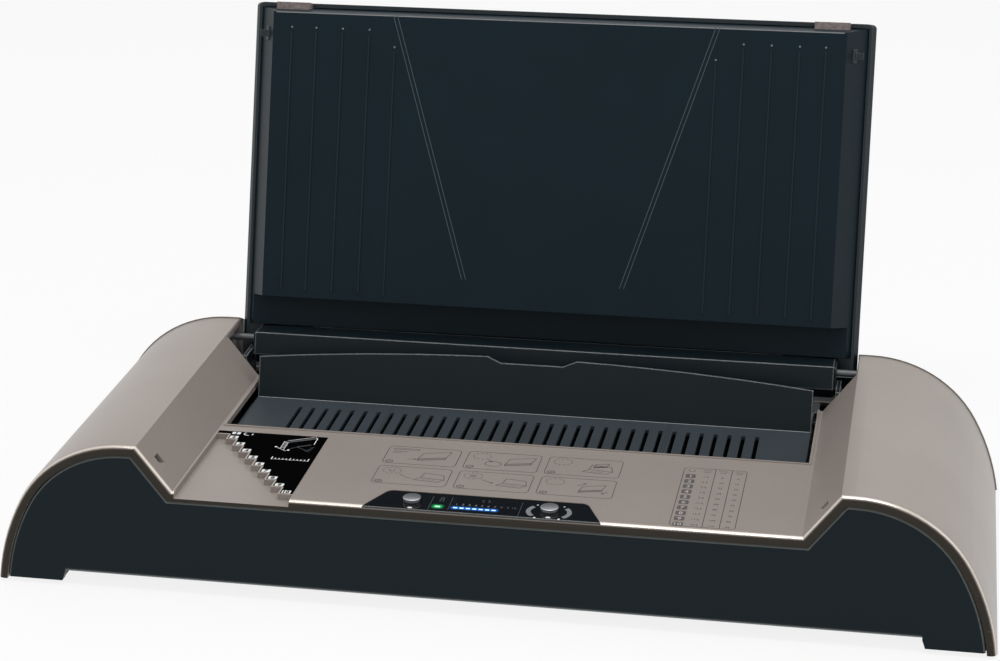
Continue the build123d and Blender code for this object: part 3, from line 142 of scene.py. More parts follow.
class Graph:
    """The node tree of one material, or of the world."""

    def __init__(self, owner: bpy.types.Material | bpy.types.World) -> None:
        """Empties the node tree of a material or a world.

        Args:
            owner: The material or the world.
        """
        owner.use_nodes = True
        self.owner = owner
        self.tree = owner.node_tree
        self.tree.nodes.clear()

    def node(self, kind: str, settings: dict[str, Any] | None = None,
             sockets: dict[int | str, Any] | None = None, out: int | str | None = 0) -> Signal:
        """Adds one node.

        Args:
            kind: The node's type.
            settings: Its own settings, set first; "stops" holds a ramp's positions and colours.
            sockets: Values or signals for its inputs, by name or place.
            out: The output that is returned, or None where the node has none.

        Returns:
            The chosen output as a signal.
        """
        made = self.tree.nodes.new(kind)
        for key, value in (settings or {}).items():
            if key == "stops":
                ramp = made.color_ramp.elements
                while len(ramp) < len(value):
                    ramp.new(0.5)
                for element, (position, colour) in zip(ramp, value):
                    element.position = position
                    element.color = (*colour, 1.0)
            else:
                setattr(made, key, value)
        for key, value in (sockets or {}).items():
            if isinstance(value, Signal):
                self.tree.links.new(value.socket, made.inputs[key])
            else:
                made.inputs[key].default_value = value
        return Signal(self, None if out is None else made.outputs[out])

    def blend(self, factor: Any, first: Any, second: Any) -> Signal:
        """Mixes two colours.

        Args:
            factor: The share of the second one.
            first: A colour or a signal.
            second: Another.

        Returns:
            The mixed colour.
        """
        pair = [c if isinstance(c, Signal) else (*c, 1.0) for c in (first, second)]
        settings = {"data_type": "RGBA", "clamp_factor": True}
        return self.node("ShaderNodeMix", settings, {0: factor, 6: pair[0], 7: pair[1]}, 2)

    def place(self) -> Signal:
        """The point on the piece, in metres, in the shared frame."""
        return self.node("ShaderNodeTexCoord", None, None, "Object")

    def along(self, axis: int) -> Signal:
        """One coordinate of that point, by its number."""
        return self.node("ShaderNodeSeparateXYZ", None, {0: self.place()}, axis)

    def stretched(self, scale: Point3, turn: float = 0.0) -> Signal:
        """The point with each axis scaled, turned about x first.

        Args:
            scale: Repeats per metre along each axis.
            turn: Angle about x in radians.

        Returns:
            The scaled point.
        """
        turned = self.node("ShaderNodeMapping", None, {0: self.place(), 2: (turn, 0.0, 0.0)})
        return self.node("ShaderNodeVectorMath", {"operation": "MULTIPLY"}, {0: turned, 1: scale})

    def noise(self, size_mm: float, detail: float = 2.0, where: Signal | None = None) -> Signal:
        """Soft noise.

        Args:
            size_mm: About the size of its features.
            detail: How many finer layers it has.
            where: The scaled point that it is read at, in place of a size.

        Returns:
            The noise, from 0 to 1.
        """
        sockets = {"Vector": where or self.place(), "Detail": detail,
                   "Scale": 1.0 if where else 1.0 / (size_mm * MM)}
        return self.node("ShaderNodeTexNoise", None, sockets, 0)

    def cells(self, size_mm: float) -> Signal:
        """A random grey for each small cell.

        Args:
            size_mm: The cells' size.

        Returns:
            The grey, from 0 to 1.
        """
        sockets = {"Vector": self.place(), "Scale": 1.0 / (size_mm * MM)}
        colour = self.node("ShaderNodeTexVoronoi", None, sockets, "Color")
        return self.node("ShaderNodeSeparateColor", None, {0: colour}, 0)

    def forwards(self) -> Signal:
        """How much the surface itself faces the front, from -1 to 1."""
        normal = self.node("ShaderNodeNewGeometry", None, None, "True Normal")
        return self.node("ShaderNodeSeparateXYZ", None, {0: normal}, 1) * -1.0

    def soft_edge(self, radius_mm: float) -> Signal:
        """The normal, rounded over sharp edges."""
        return self.node("ShaderNodeBevel", {"samples": 3}, {"Radius": radius_mm * MM})

    def bump(self, height: Signal, depth_mm: float, normal: Signal | None = None) -> Signal:
        """A bumped normal.

        Args:
            height: The height, from 0 to 1.
            depth_mm: How deep that is.
            normal: The normal that it starts from, where it isn't the piece's own.

        Returns:
            The normal.
        """
        sockets = {"Strength": 1.0, "Distance": depth_mm * MM, "Height": height}
        if normal:
            sockets["Normal"] = normal
        return self.node("ShaderNodeBump", None, sockets)

    def close(self, **sockets: Any) -> bpy.types.Material:
        """Ends the graph in one Principled shader.

        Args:
            **sockets: Its inputs, with spaces written as underscores.

        Returns:
            The finished material.
        """
        values = {}
        for key, value in sockets.items():
            if isinstance(value, tuple) and len(value) == 3:
                value = (*value, 1.0)
            values[key.replace("_", " ")] = value
        self.end(self.node("ShaderNodeBsdfPrincipled", None, values))
        return self.owner

    def end(self, shader: Signal, kind: str = "ShaderNodeOutputMaterial") -> None:
        """Links a shader to the output's surface."""
        self.node(kind, None, {"Surface": shader}, None)


# -------------------------------------------------------------------- finishes


@dataclass(frozen=True)
class Moulded:
    """Moulded plastic or rubber with a fine grain, soft edges and a little lightening of the edges,
    partly rubbing and partly a painted highlight.

    Args:
        colour: Its colour.
        roughness: The middle of its roughness.
        grain_mm: Size of the eroded grain.
        depth_mm: Depth of the grain.
        mottle: How much the colour changes over the piece.
        edge_mm: Radius that edges look rounded to.
        wear: How much lighter and smoother the edges are, partly from rubbing and partly as a painted
            highlight.
        worn: The colour of those edges, where it isn't only a little lighter; where it is pale, it is a
            painted highlight.
        specular: Strength of its reflection at a right angle.
        rim: A painted highlight, the lighter colour of the bevels around its front.
        trim: The colour of its front edge.
        trim_end: How far back that edge goes, in metres.
    """

    colour: Colour
    roughness: float = 0.45
    grain_mm: float = 0.35
    depth_mm: float = 0.006
    mottle: float = 0.08
    edge_mm: float = 0.35
    wear: float = 0.25
    worn: Colour | None = None
    specular: float = 0.5
    rim: Colour | None = None
    trim: Colour | None = None
    trim_end: float = 0.0

    def material(self, name: str) -> bpy.types.Material:
        """Makes the material.

        Args:
            name: Its name.

        Returns:
            The material, with its node tree.
        """
        graph = Graph(bpy.data.materials.new(name))
        patches = graph.noise(45.0, 3.0)
        grain = graph.noise(self.grain_mm, 2.0)
        soft = graph.soft_edge(self.edge_mm)
        flat = graph.node("ShaderNodeNewGeometry", None, None, "Normal")
        turned = graph.node("ShaderNodeVectorMath", {"operation": "DOT_PRODUCT"}, {0: soft, 1: flat}, 1)
        # Lighter edges: partly rubbing, and a painted highlight where the edge colour is pale.
        edge = (1.0 - turned).ramp(0.01, 0.16) * self.wear
        light = tuple(min(1.0, c * (1.0 + self.mottle)) for c in self.colour)
        dark = tuple(c * (1.0 - self.mottle) for c in self.colour)
        worn = self.worn or tuple(min(1.0, c * 1.5 + 0.01) for c in self.colour)
        colour = graph.blend(patches.ramp(0.3, 0.7), dark, light)
        colour = graph.blend(edge, colour, worn)
        # Painted highlight on the bevels that face partly forward.
        if self.rim:
            ahead = graph.forwards()
            colour = graph.blend(ahead.ramp(0.3, 0.6) * ahead.ramp(0.95, 0.85), colour, self.rim)
        if self.trim:
            ends = graph.along(1).ramp(self.trim_end + 0.0004, self.trim_end)
            colour = graph.blend(ends, colour, self.trim)
        rough = patches * 0.06 + grain * 0.05 + (self.roughness - 0.055) - edge * 0.12
        return graph.close(Base_Color=colour, Roughness=rough, Specular_IOR_Level=self.specular,
                           Normal=graph.bump(grain, self.depth_mm, soft))


@dataclass(frozen=True)
class Pearl:
    """Satin metallic paint with fine flakes over a champagne base.

    Args:
        colour: The base colour.
        flake: The colour of the flakes.
        roughness: The middle of its roughness.
        lip: A painted shade, a deeper brown on the shell's front-facing band, in place of the shade and
            dark reflection there.
        crest: A painted highlight, a pale colour along the roll above that band, which is also made
            more metallic and smoother there.
        metallic: How metallic the flakes make it.
        coat: Weight of the clear coat.
        front_y: Where the front is, in metres.
    """

    colour: Colour
    flake: Colour
    lip: Colour
    crest: Colour
    roughness: float = 0.36
    metallic: float = 0.08
    coat: float = 0.08
    front_y: float = -0.1405

    def material(self, name: str) -> bpy.types.Material:
        """Makes the material.

        Args:
            name: Its name.

        Returns:
            The material, with its node tree.
        """
        graph = Graph(bpy.data.materials.new(name))
        flakes = graph.cells(0.16)
        patches = graph.noise(60.0, 3.0)
        orange = graph.noise(1.4, 1.0)
        soft = graph.soft_edge(0.3)
        colour = graph.blend(flakes.ramp(0.35, 1.0) * 0.55, self.colour, self.flake)
        darker = tuple(c * 0.93 for c in self.colour)
        colour = graph.blend(patches.ramp(0.35, 0.75) * 0.5, colour, darker)
        ahead = graph.forwards()
        front = graph.along(1).ramp(self.front_y + 0.0055, self.front_y + 0.0045)
        # Painted shade: the front-facing band of the shell is made a deeper brown.
        lip = ahead.ramp(0.62, 0.85) * front
        # Painted highlight: a pale, more metallic and smoother line along the roll above the front
        # band.
        crest = ahead.ramp(0.2, 0.4) * ahead.ramp(0.75, 0.6) * front
        colour = graph.blend(crest * 0.8, colour, self.crest)
        colour = graph.blend(lip, colour, self.lip)
        rough = flakes * 0.08 + patches * 0.05 + (self.roughness - 0.065) - crest * 0.1
        metallic = flakes * 0.1 + (self.metallic - 0.05) + crest * 0.6
        height = flakes * 0.6 + orange * 0.4
        return graph.close(Base_Color=colour, Metallic=metallic, Roughness=rough,
                           Specular_IOR_Level=0.2, Coat_Weight=self.coat, Coat_Roughness=0.12,
                           Normal=graph.bump(height, 0.0035, soft))


@dataclass(frozen=True)
class Brushed:
    """Drawn, rolled or plated metal with fine lines along x.

    Args:
        colour: Its colour.
        roughness: The middle of its roughness.
        line_mm: Spacing of the fine lines.
        depth_mm: Depth of the lines.
        stain: How much darker its patches are.
    """

    colour: Colour
    roughness: float = 0.34
    line_mm: float = 0.25
    depth_mm: float = 0.002
    stain: float = 0.15

    def material(self, name: str) -> bpy.types.Material:
        """Makes the material.

        Args:
            name: Its name.

        Returns:
            The material, with its node tree.
        """
        graph = Graph(bpy.data.materials.new(name))
        across = 1.0 / (self.line_mm * MM)
        lines = graph.noise(1.0, 2.0, graph.stretched((across / 60.0, across, across)))
        patches = graph.noise(12.0, 3.0)
        soft = graph.soft_edge(0.2)
        dark = tuple(c * (1.0 - self.stain) for c in self.colour)
        colour = graph.blend(patches.ramp(0.3, 0.7), dark, self.colour)
        rough = lines * 0.12 + patches * 0.1 + (self.roughness - 0.11)
        return graph.close(Base_Color=colour, Metallic=1.0, Roughness=rough,
                           Normal=graph.bump(lines, self.depth_mm, soft))


@dataclass(frozen=True)
class Gloss:
    """A glossy clear-topped panel over a dark print, with faint wiping marks.

    Args:
        colour: The colour below the gloss.
        roughness: The middle of its roughness.
    """

    colour: Colour
    roughness: float = 0.08

    def material(self, name: str) -> bpy.types.Material:
        """Makes the material.

        Args:
            name: Its name.

        Returns:
            The material, with its node tree.
        """
        graph = Graph(bpy.data.materials.new(name))
        wipes = graph.noise(1.0, 3.0, graph.stretched((60.0, 500.0, 500.0)))
        haze = graph.noise(9.0, 2.0)
        colour = graph.blend(haze, self.colour, tuple(c * 1.4 + 0.001 for c in self.colour))
        rough = wipes * 0.07 + haze * 0.04 + (self.roughness - 0.03)
        return graph.close(Base_Color=colour, Roughness=rough, Coat_Weight=0.5, Coat_Roughness=0.04,
                           Normal=graph.bump(wipes, 0.0006, graph.soft_edge(0.25)))


@dataclass(frozen=True)
class Ink:
    """Printed ink, a little uneven where the screen left less of it.

    Args:
        colour: The ink's colour.
        thin: The colour where the ink is thin.
        roughness: The middle of its roughness.
    """

    colour: Colour
    thin: Colour
    roughness: float = 0.5

    def material(self, name: str) -> bpy.types.Material:
        """Makes the material.

        Args:
            name: Its name.

        Returns:
            The material, with its node tree.
        """
        graph = Graph(bpy.data.materials.new(name))
        cover = graph.noise(0.5, 2.0)
        colour = graph.blend(cover.ramp(0.3, 0.75), self.colour, self.thin)
        return graph.close(Base_Color=colour, Roughness=cover * 0.14 + (self.roughness - 0.07),
                           Specular_IOR_Level=0.2, Normal=graph.bump(cover, 0.002))


@dataclass(frozen=True)
class ClearRubber:
    """Soft, slightly clear rubber with a warm tint.

    Args:
        colour: Its colour.
        depth: The deeper colour of its clouds.
    """

    colour: Colour
    depth: Colour

    def material(self, name: str) -> bpy.types.Material:
        """Makes the material.

        Args:
            name: Its name.

        Returns:
            The material, with its node tree.
        """
        graph = Graph(bpy.data.materials.new(name))
        cloud = graph.noise(2.5, 3.0)
        colour = graph.blend(cloud.ramp(0.25, 0.75), self.depth, self.colour)
        return graph.close(Base_Color=colour, Roughness=cloud * 0.12 + 0.16, Transmission_Weight=0.55,
                           IOR=1.45, Normal=graph.bump(cloud, 0.02, graph.soft_edge(0.6)))


@dataclass(frozen=True)
class Lamp:
    """A lamp's clear body, lit from inside.

    Args:
        colour: The body's colour.
        glow: The light's colour.
        strength: How strongly it shines.
    """

    colour: Colour
    glow: Colour
    strength: float

    def material(self, name: str) -> bpy.types.Material:
        """Makes the material.

        Args:
            name: Its name.

        Returns:
            The material, with its node tree.
        """
        graph = Graph(bpy.data.materials.new(name))
        cloud = graph.noise(0.8, 2.0)
        hot = tuple(min(1.0, c + 0.3) for c in self.glow)
        glow = graph.blend(cloud.ramp(0.2, 0.8) * 0.5, self.glow, hot)
        return graph.close(Base_Color=self.colour, Roughness=cloud * 0.1 + 0.12,
                           Emission_Color=glow, Emission_Strength=self.strength)


@dataclass(frozen=True)
class Fibre:
    """Pressed fibre board.

    Args:
        colour: Its colour.
    """

    colour: Colour

    def material(self, name: str) -> bpy.types.Material:
        """Makes the material.

        Args:
            name: Its name.

        Returns:
            The material, with its node tree.
        """
        graph = Graph(bpy.data.materials.new(name))
        strands = graph.noise(1.0, 4.0, graph.stretched((350.0, 1400.0, 900.0)))
        clumps = graph.noise(6.0, 3.0)
        colour = graph.blend((strands * 0.6 + clumps * 0.4).ramp(0.3, 0.7), self.colour,
                             tuple(c * 0.72 for c in self.colour))
        return graph.close(Base_Color=colour, Roughness=strands * 0.1 + 0.85,
                           Normal=graph.bump(strands, 0.15))


@dataclass(frozen=True)
class BoardMask:
    """A circuit board's solder mask, with copper tracks below it.

    Args:
        colour: The mask's colour.
        track: The colour over a track.
        pitch_mm: Spacing of the tracks.
    """

    colour: Colour
    track: Colour
    pitch_mm: float = 2.54

    def material(self, name: str) -> bpy.types.Material:
        """Makes the material.

        Args:
            name: Its name.

        Returns:
            The material, with its node tree.
        """
        graph = Graph(bpy.data.materials.new(name))
        sockets = {"Vector": graph.place(), "Scale": 1.0 / (self.pitch_mm * MM)}
        settings = {"distance": "CHEBYCHEV", "feature": "F1"}
        steps = graph.node("ShaderNodeTexVoronoi", settings, sockets, "Distance")
        tracks = (steps - 0.32).size().ramp(0.11, 0.08)
        dust = graph.noise(3.0, 3.0)
        colour = graph.blend(tracks, self.colour, self.track)
        return graph.close(Base_Color=colour, Roughness=dust * 0.2 + 0.28,
                           Normal=graph.bump(tracks, 0.03))


@dataclass(frozen=True)
class Laminated:
    """A stack of thin steel sheets, edge on.

    Args:
        colour: Its colour.
        sheet_mm: Thickness of one sheet.
    """

    colour: Colour
    sheet_mm: float = 0.5

    def material(self, name: str) -> bpy.types.Material:
        """Makes the material.

        Args:
            name: Its name.

        Returns:
            The material, with its node tree.
        """
        graph = Graph(bpy.data.materials.new(name))
        settings = {"wave_type": "BANDS", "bands_direction": "Y"}
        sockets = {"Vector": graph.place(), "Scale": math.tau / (20.0 * self.sheet_mm * MM),
                   "Distortion": 0.4}
        sheets = graph.node("ShaderNodeTexWave", settings, sockets, 1)
        rust = graph.noise(4.0, 3.0)
        dark = tuple(c * 0.45 for c in self.colour)
        colour = graph.blend(sheets * 0.5 + rust * 0.3, self.colour, dark)
        return graph.close(Base_Color=colour, Metallic=0.8, Roughness=rust * 0.2 + 0.4,
                           Normal=graph.bump(sheets, 0.08))


@dataclass(frozen=True)
class GlowStrip:
    """A smoked window over lamps: each lamp is a bright bar with a soft halo, and some are off.

    Args:
        first: The first lamp's place in metres, across and back.
        pitch: Spacing of the lamps in metres.
        lit: How many lamps are on.
        bar: Half-sizes of a lamp's bar in metres.
        core: The colour of a lit bar.
        halo: The colour around it.
        reach: How far the halo goes, in metres.
    """

    first: Point2
    pitch: float
    lit: int
    bar: Point2
    core: Colour
    halo: Colour
    reach: float = 0.0024

    def material(self, name: str) -> bpy.types.Material:
        """Makes the material.

        Args:
            name: Its name.

        Returns:
            The material, with its node tree.
        """
        graph = Graph(bpy.data.materials.new(name))
        across = graph.along(0) - self.first[0]
        back = graph.along(1) - self.first[1]
        step = self._nearest(graph, across)
        beside = (across - step * self.pitch).size() - self.bar[0]
        along = back.size() - self.bar[1]
        outside = beside.most(0.0).power(2.0) + along.most(0.0).power(2.0)
        far = outside.power(0.5)
        core = far.ramp(0.00022, 0.0)
        halo = far.ramp(self.reach, 0.0).power(2.0)
        smoke = graph.noise(0.7, 2.0)
        glow = graph.blend(core, graph.blend(halo, (0.0, 0.0, 0.0), self.halo), self.core)
        return graph.close(Base_Color=(0.004, 0.005, 0.008), Roughness=smoke * 0.06 + 0.1,
                           Emission_Color=glow, Emission_Strength=1.6)

    def _nearest(self, graph: Graph, across: Signal) -> Signal:
        """The number of the nearest lit lamp.

        Args:
            graph: The material's graph.
            across: How far right of the first lamp the point is.

        Returns:
            The number, from 0.
        """
        settings = {"operation": "ROUND"}
        near = graph.node("ShaderNodeMath", settings, {0: across / self.pitch, 1: 0.0})
        return near.most(0.0).least(float(self.lit - 1))


class Finish(Enum):
    """Every finish on the machine."""

    # The shell, with a painted shade on its front-facing band and a painted highlight on the roll above
    # it.
    SHELL = Pearl((0.320, 0.281, 0.256), (0.46, 0.405, 0.365), lip=(0.024, 0.018, 0.012),
                  crest=(0.74, 0.67, 0.60))
    # The fascia, with a painted highlight on its front bevels.
    FASCIA = Moulded((0.0065, 0.0135, 0.0175), 0.36, 0.30, 0.004, edge_mm=1.2, specular=0.12,
                     rim=(0.16, 0.18, 0.175))
    # Its edges carry a painted highlight in a paler colour.
    LID = Moulded((0.0075, 0.0150, 0.0195), 0.40, 0.32, 0.005, edge_mm=0.6, wear=1.0,
                  worn=(0.10, 0.115, 0.12), specular=0.28)
    LID_INNER = Moulded((0.0050, 0.0135, 0.0195), 0.40, 0.30, 0.004, specular=0.10)
    # A lighter copy of the inner panel's plastic, as painted light on the ribs.
    RIB = Moulded((0.0080, 0.0185, 0.0250), 0.38, 0.30, 0.004, specular=0.14)
    REAR = Moulded((0.012, 0.019, 0.024), 0.46, 0.5, 0.010, specular=0.25, trim=(0.24, 0.212, 0.190),
                   trim_end=0.0625)
    BASE = Moulded((0.014, 0.015, 0.016), 0.55, 0.6, 0.012, specular=0.3)
    TRAY = Moulded((0.044, 0.055, 0.064), 0.38, 0.25, 0.004, specular=0.22)
    # Its edges carry a painted highlight in a pale grey.
    WALL = Moulded((0.0075, 0.013, 0.0165), 0.38, 0.28, 0.004, edge_mm=1.1, wear=1.0,
                   worn=(0.46, 0.48, 0.49), specular=0.14)
    GAUGE = Moulded((0.0022, 0.0022, 0.0024), 0.6, 0.2, 0.002, wear=0.2, specular=0.0)
    LENS = Gloss((0.003, 0.0035, 0.005))
    CAP_SIDE = Brushed((0.085, 0.085, 0.09), 0.20, 0.12, 0.0008, 0.06)
    CAP_TOP = Brushed((0.50, 0.51, 0.53), 0.38, 0.08, 0.0012, 0.04)
    ZINC = Brushed((0.56, 0.57, 0.59), 0.36)
    PIN = Moulded((0.13, 0.135, 0.14), 0.26, 0.3, 0.003, edge_mm=0.6)
    PLATE = Brushed((0.66, 0.67, 0.68), 0.40, 0.35, 0.004, 0.2)
    BRASS = Brushed((0.75, 0.60, 0.30), 0.28, 0.15, 0.001)
    FILM = Moulded((0.45, 0.20, 0.06), 0.32, 2.0, 0.02)
    FIBRE = Fibre((0.72, 0.69, 0.62))
    BOARD = BoardMask((0.015, 0.12, 0.05), (0.04, 0.22, 0.09))
    PART = Moulded((0.022, 0.022, 0.025), 0.5, 0.4, 0.01)
    STACK = Laminated((0.20, 0.20, 0.21))
    FOOT = Moulded((0.016, 0.016, 0.016), 0.8, 0.5, 0.02, specular=0.2)
    PADS = ClearRubber((0.52, 0.45, 0.43), (0.22, 0.175, 0.17))
    PIN_MARK = Moulded((0.13, 0.16, 0.17), 0.30, 0.2, 0.002)
    GREEN_LAMP = Lamp((0.05, 0.5, 0.2), (0.12, 1.0, 0.35), 1.2)
    DARK_LAMP = Lamp((0.1, 0.3, 0.8), (0.15, 0.5, 1.0), 1.0)
    WHITE_INK = Ink((0.90, 0.90, 0.89), (0.74, 0.74, 0.74))
    EDGE_INK = Ink((0.62, 0.55, 0.49), (0.52, 0.46, 0.41), 0.35)
    PALE_INK = Ink((0.52, 0.50, 0.47), (0.40, 0.38, 0.36))
    BLACK_INK = Ink((0.010, 0.010, 0.011), (0.03, 0.03, 0.03))
    BADGE_INK = Ink((0.105, 0.096, 0.098), (0.14, 0.125, 0.12), 0.45)
    GREY_INK = Ink((0.050, 0.046, 0.048), (0.085, 0.076, 0.074))
    DARK_INK = Ink((0.018, 0.024, 0.028), (0.030, 0.038, 0.042), 0.45)
    BLUE_INK = Ink((0.060, 0.088, 0.100), (0.042, 0.062, 0.072), 0.4)
    SILVER_INK = Ink((0.27, 0.275, 0.28), (0.18, 0.185, 0.19), 0.35)
    # A pale strip that is a painted highlight along the tray's fold.
    FOLD_INK = Ink((0.52, 0.54, 0.55), (0.40, 0.41, 0.42), 0.3)
    DIM_INK = Ink((0.10, 0.11, 0.12), (0.07, 0.075, 0.08))


class FinishShelf:
    """Makes each finish's material once."""

    def __init__(self) -> None:
        """Starts with nothing made."""
        self.made: dict[Any, bpy.types.Material] = {}

    def get(self, finish: Any, name: str | None = None) -> bpy.types.Material:
        """The material of a finish.

        Args:
            finish: A member of Finish, or a finish made for one place.
            name: The material's name, where the finish has none.

        Returns:
            Its material.
        """
        if finish not in self.made:
            maker = finish.value if isinstance(finish, Enum) else finish
            self.made[finish] = maker.material(name or finish.name.lower())
        return self.made[finish]


# ------------------------------------------------------------ places and meshes


class MachineFrame:
    """Matrices from mm in the machine's sloping frame, and in the lid's as drawn shut, to the world."""

    def __init__(self, joints: list[dict[str, Any]], hinge: Point2) -> None:
        """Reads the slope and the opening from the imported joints.

        Args:
            joints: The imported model's joints.
            hinge: The hinge's place, back and up, in the sloping frame.
        """
        named = {joint["name"]: joint for joint in joints}
        slide = named["tray_slide"]["axis"]
        slope = Matrix.Rotation(math.atan2(slide[2], slide[1]), 4, "X") @ Matrix.Scale(MM, 4)
        at = Vector((0.0, *hinge))
        shift = Vector(named["lid_hinge"]["pos_m"]) - slope @ at
        opening = -math.radians(named["lid_hinge"]["range_deg"][1])
        self.deck = Matrix.Translation(shift) @ slope
        turn = Matrix.Translation(at) @ Matrix.Rotation(opening, 4, "X") @ Matrix.Translation(-at)
        self.lid = self.deck @ turn


def arc(centre: Point2, radius: Point2, start: float, end: float, steps: int = 10) -> list[Point2]:
    """Points on an arc of an ellipse.

    Args:
        centre: Its middle.
        radius: Its two radii.
        start: The angle in degrees that it starts at.
        end: The angle that it ends at.
        steps: How many stretches it has.

    Returns:
        The points, one more than the stretches.
    """
    angles = [math.radians(start + (end - start) * i / steps) for i in range(steps + 1)]
    return [(centre[0] + radius[0] * math.cos(a), centre[1] + radius[1] * math.sin(a)) for a in angles]


def rounded_box(x0: float, x1: float, y0: float, y1: float, radius: float) -> list[Point2]:
    """The outline of a box with round corners.

    Args:
        x0: Its left side.
        x1: Its right side.
        y0: Its front.
        y1: Its back.
        radius: The corners' radius.

    Returns:
        Its points, anticlockwise.
    """
    corners = ((x1 - radius, y0 + radius, -90), (x1 - radius, y1 - radius, 0),
               (x0 + radius, y1 - radius, 90), (x0 + radius, y0 + radius, 180))
    return [p for x, y, a in corners for p in arc((x, y), (radius, radius), a, a + 90, 5)]


class Sketch:
    """Gathers faces in mm and turns them into one placed object."""

    def __init__(self, facing: Facing = Facing.UP) -> None:
        """Starts an empty sketch.

        Args:
            facing: Whether its flat prints look up or down.
        """
        self.facing = facing
        self.points: list[Point3] = []
        self.faces: list[tuple[int, ...]] = []

    def face(self, points: Sequence[Point2], z: float) -> None:
        """A flat face.

        Args:
            points: Its outline, anticlockwise from above.
            z: Its height.
        """
        start = len(self.points)
        self.points += [(x, y, z) for x, y in points]
        order = range(start, start + len(points))
        self.faces.append(tuple(order if self.facing is Facing.UP else reversed(order)))

    def stroke(self, points: Sequence[Point2], width: float, z: float, closed: bool = False) -> None:
        """A flat line of even width, with mitred corners.

        Args:
            points: The line's middle.
            width: Its width.
            z: Its height.
            closed: Whether it joins up with its start.
        """
        count = len(points)
        rim = []
        for i, point in enumerate(points):
            before = points[i - 1] if closed or i else None
            after = points[(i + 1) % count] if closed or i < count - 1 else None
            ways = []
            if before:
                ways.append((Vector(point) - Vector(before)).normalized())
            if after:
                ways.append((Vector(after) - Vector(point)).normalized())
            way = sum(ways, Vector((0.0, 0.0))).normalized()
            side = Vector((-way.y, way.x))
            square = Vector((-ways[0].y, ways[0].x))
            reach = width / 2 / max(0.35, side.dot(square))
            rim.append((Vector(point) + side * reach, Vector(point) - side * reach))
        for i in range(count if closed else count - 1):
            (a, b), (c, d) = rim[i], rim[(i + 1) % count]
            self.face([tuple(a), tuple(b), tuple(d), tuple(c)], z)

    def text(self, words: str, centre: Point2, height: float, z: float, heavy: float = 0.0) -> None:
        """Plain figures, centred on a point.

        Args:
            words: The figures.
            centre: Their middle.
            height: The height of a figure.
            z: Their height above the frame.
            heavy: How much wider their strokes are on each side, in mm.
        """
        curve = bpy.data.curves.new("figures", "FONT")
        curve.body = words
        curve.size = height / 0.73
        curve.offset = heavy
        curve.resolution_u = 2
        holder = bpy.data.objects.new("figures", curve)
        bpy.context.scene.collection.objects.link(holder)
        graph = bpy.context.evaluated_depsgraph_get()
        mesh = bpy.data.meshes.new_from_object(holder.evaluated_get(graph))
        xs = [v.co.x for v in mesh.vertices]
        ys = [v.co.y for v in mesh.vertices]
        middle = Vector(((min(xs) + max(xs)) / 2, (min(ys) + max(ys)) / 2))
        start = len(self.points)
        for v in mesh.vertices:
            flat = v.co.xy - middle + Vector(centre)
            self.points.append((flat.x, flat.y, z))
        for polygon in mesh.polygons:
            order = [start + i for i in polygon.vertices]
            if (polygon.normal.z > 0) != (self.facing is Facing.UP):
                order.reverse()
            self.faces.append(tuple(order))
        bpy.data.objects.remove(holder)
        bpy.data.curves.remove(curve)
        bpy.data.meshes.remove(mesh)

    def prism(self, points: Sequence[Point2], z0: float, z1: float) -> None:
        """A closed upright block.

        Args:
            points: Its outline, anticlockwise from above.
            z0: Its bottom.
            z1: Its top.
        """
        count = len(points)
        start = len(self.points)
        self.points += [(x, y, z) for z in (z0, z1) for x, y in points]
        low = list(range(start, start + count))
        high = list(range(start + count, start + 2 * count))
        self.faces.append(tuple(reversed(low)))
        self.faces.append(tuple(high))
        for i in range(count):
            j = (i + 1) % count
            self.faces.append((low[i], low[j], high[j], high[i]))

    def turned(self, centre: Point2, profile: Sequence[Point2], steps: int = 40) -> None:
        """A round shape from its profile of (radius, height) points, from the rim to the middle.

        Args:
            centre: Its middle.
            profile: Points whose last one is on the axis.
            steps: How many sides it has.
        """
        start = len(self.points)
        for radius, z in profile[:-1]:
            self.points += [(*arc(centre, (radius, radius), a, a, 1)[0], z)
                            for a in (360.0 * i / steps for i in range(steps))]
        self.points.append((*centre, profile[-1][1]))
        rows = len(profile) - 1
        for row in range(rows - 1):
            for i in range(steps):
                j = (i + 1) % steps
                low, high = start + row * steps, start + (row + 1) * steps
                self.faces.append((low + i, low + j, high + j, high + i))
        last = start + (rows - 1) * steps
        for i in range(steps):
            self.faces.append((last + i, last + (i + 1) % steps, len(self.points) - 1))
        self.faces.append(tuple(reversed(range(start, start + steps))))

    def mesh(self, name: str, place: Matrix, smooth: bool = False) -> bpy.types.Mesh:
        """Turns the sketch into a mesh.

        Args:
            name: The mesh's name.
            place: From mm to the world.
            smooth: Whether it is shaded smooth.

        Returns:
            The placed mesh, in metres.
        """
        mesh = bpy.data.meshes.new(name)
        mesh.from_pydata(self.points, [], self.faces)
        mesh.transform(place)
        mesh.validate()
        if smooth:
            mesh.shade_smooth()
        mesh.update()
        return mesh


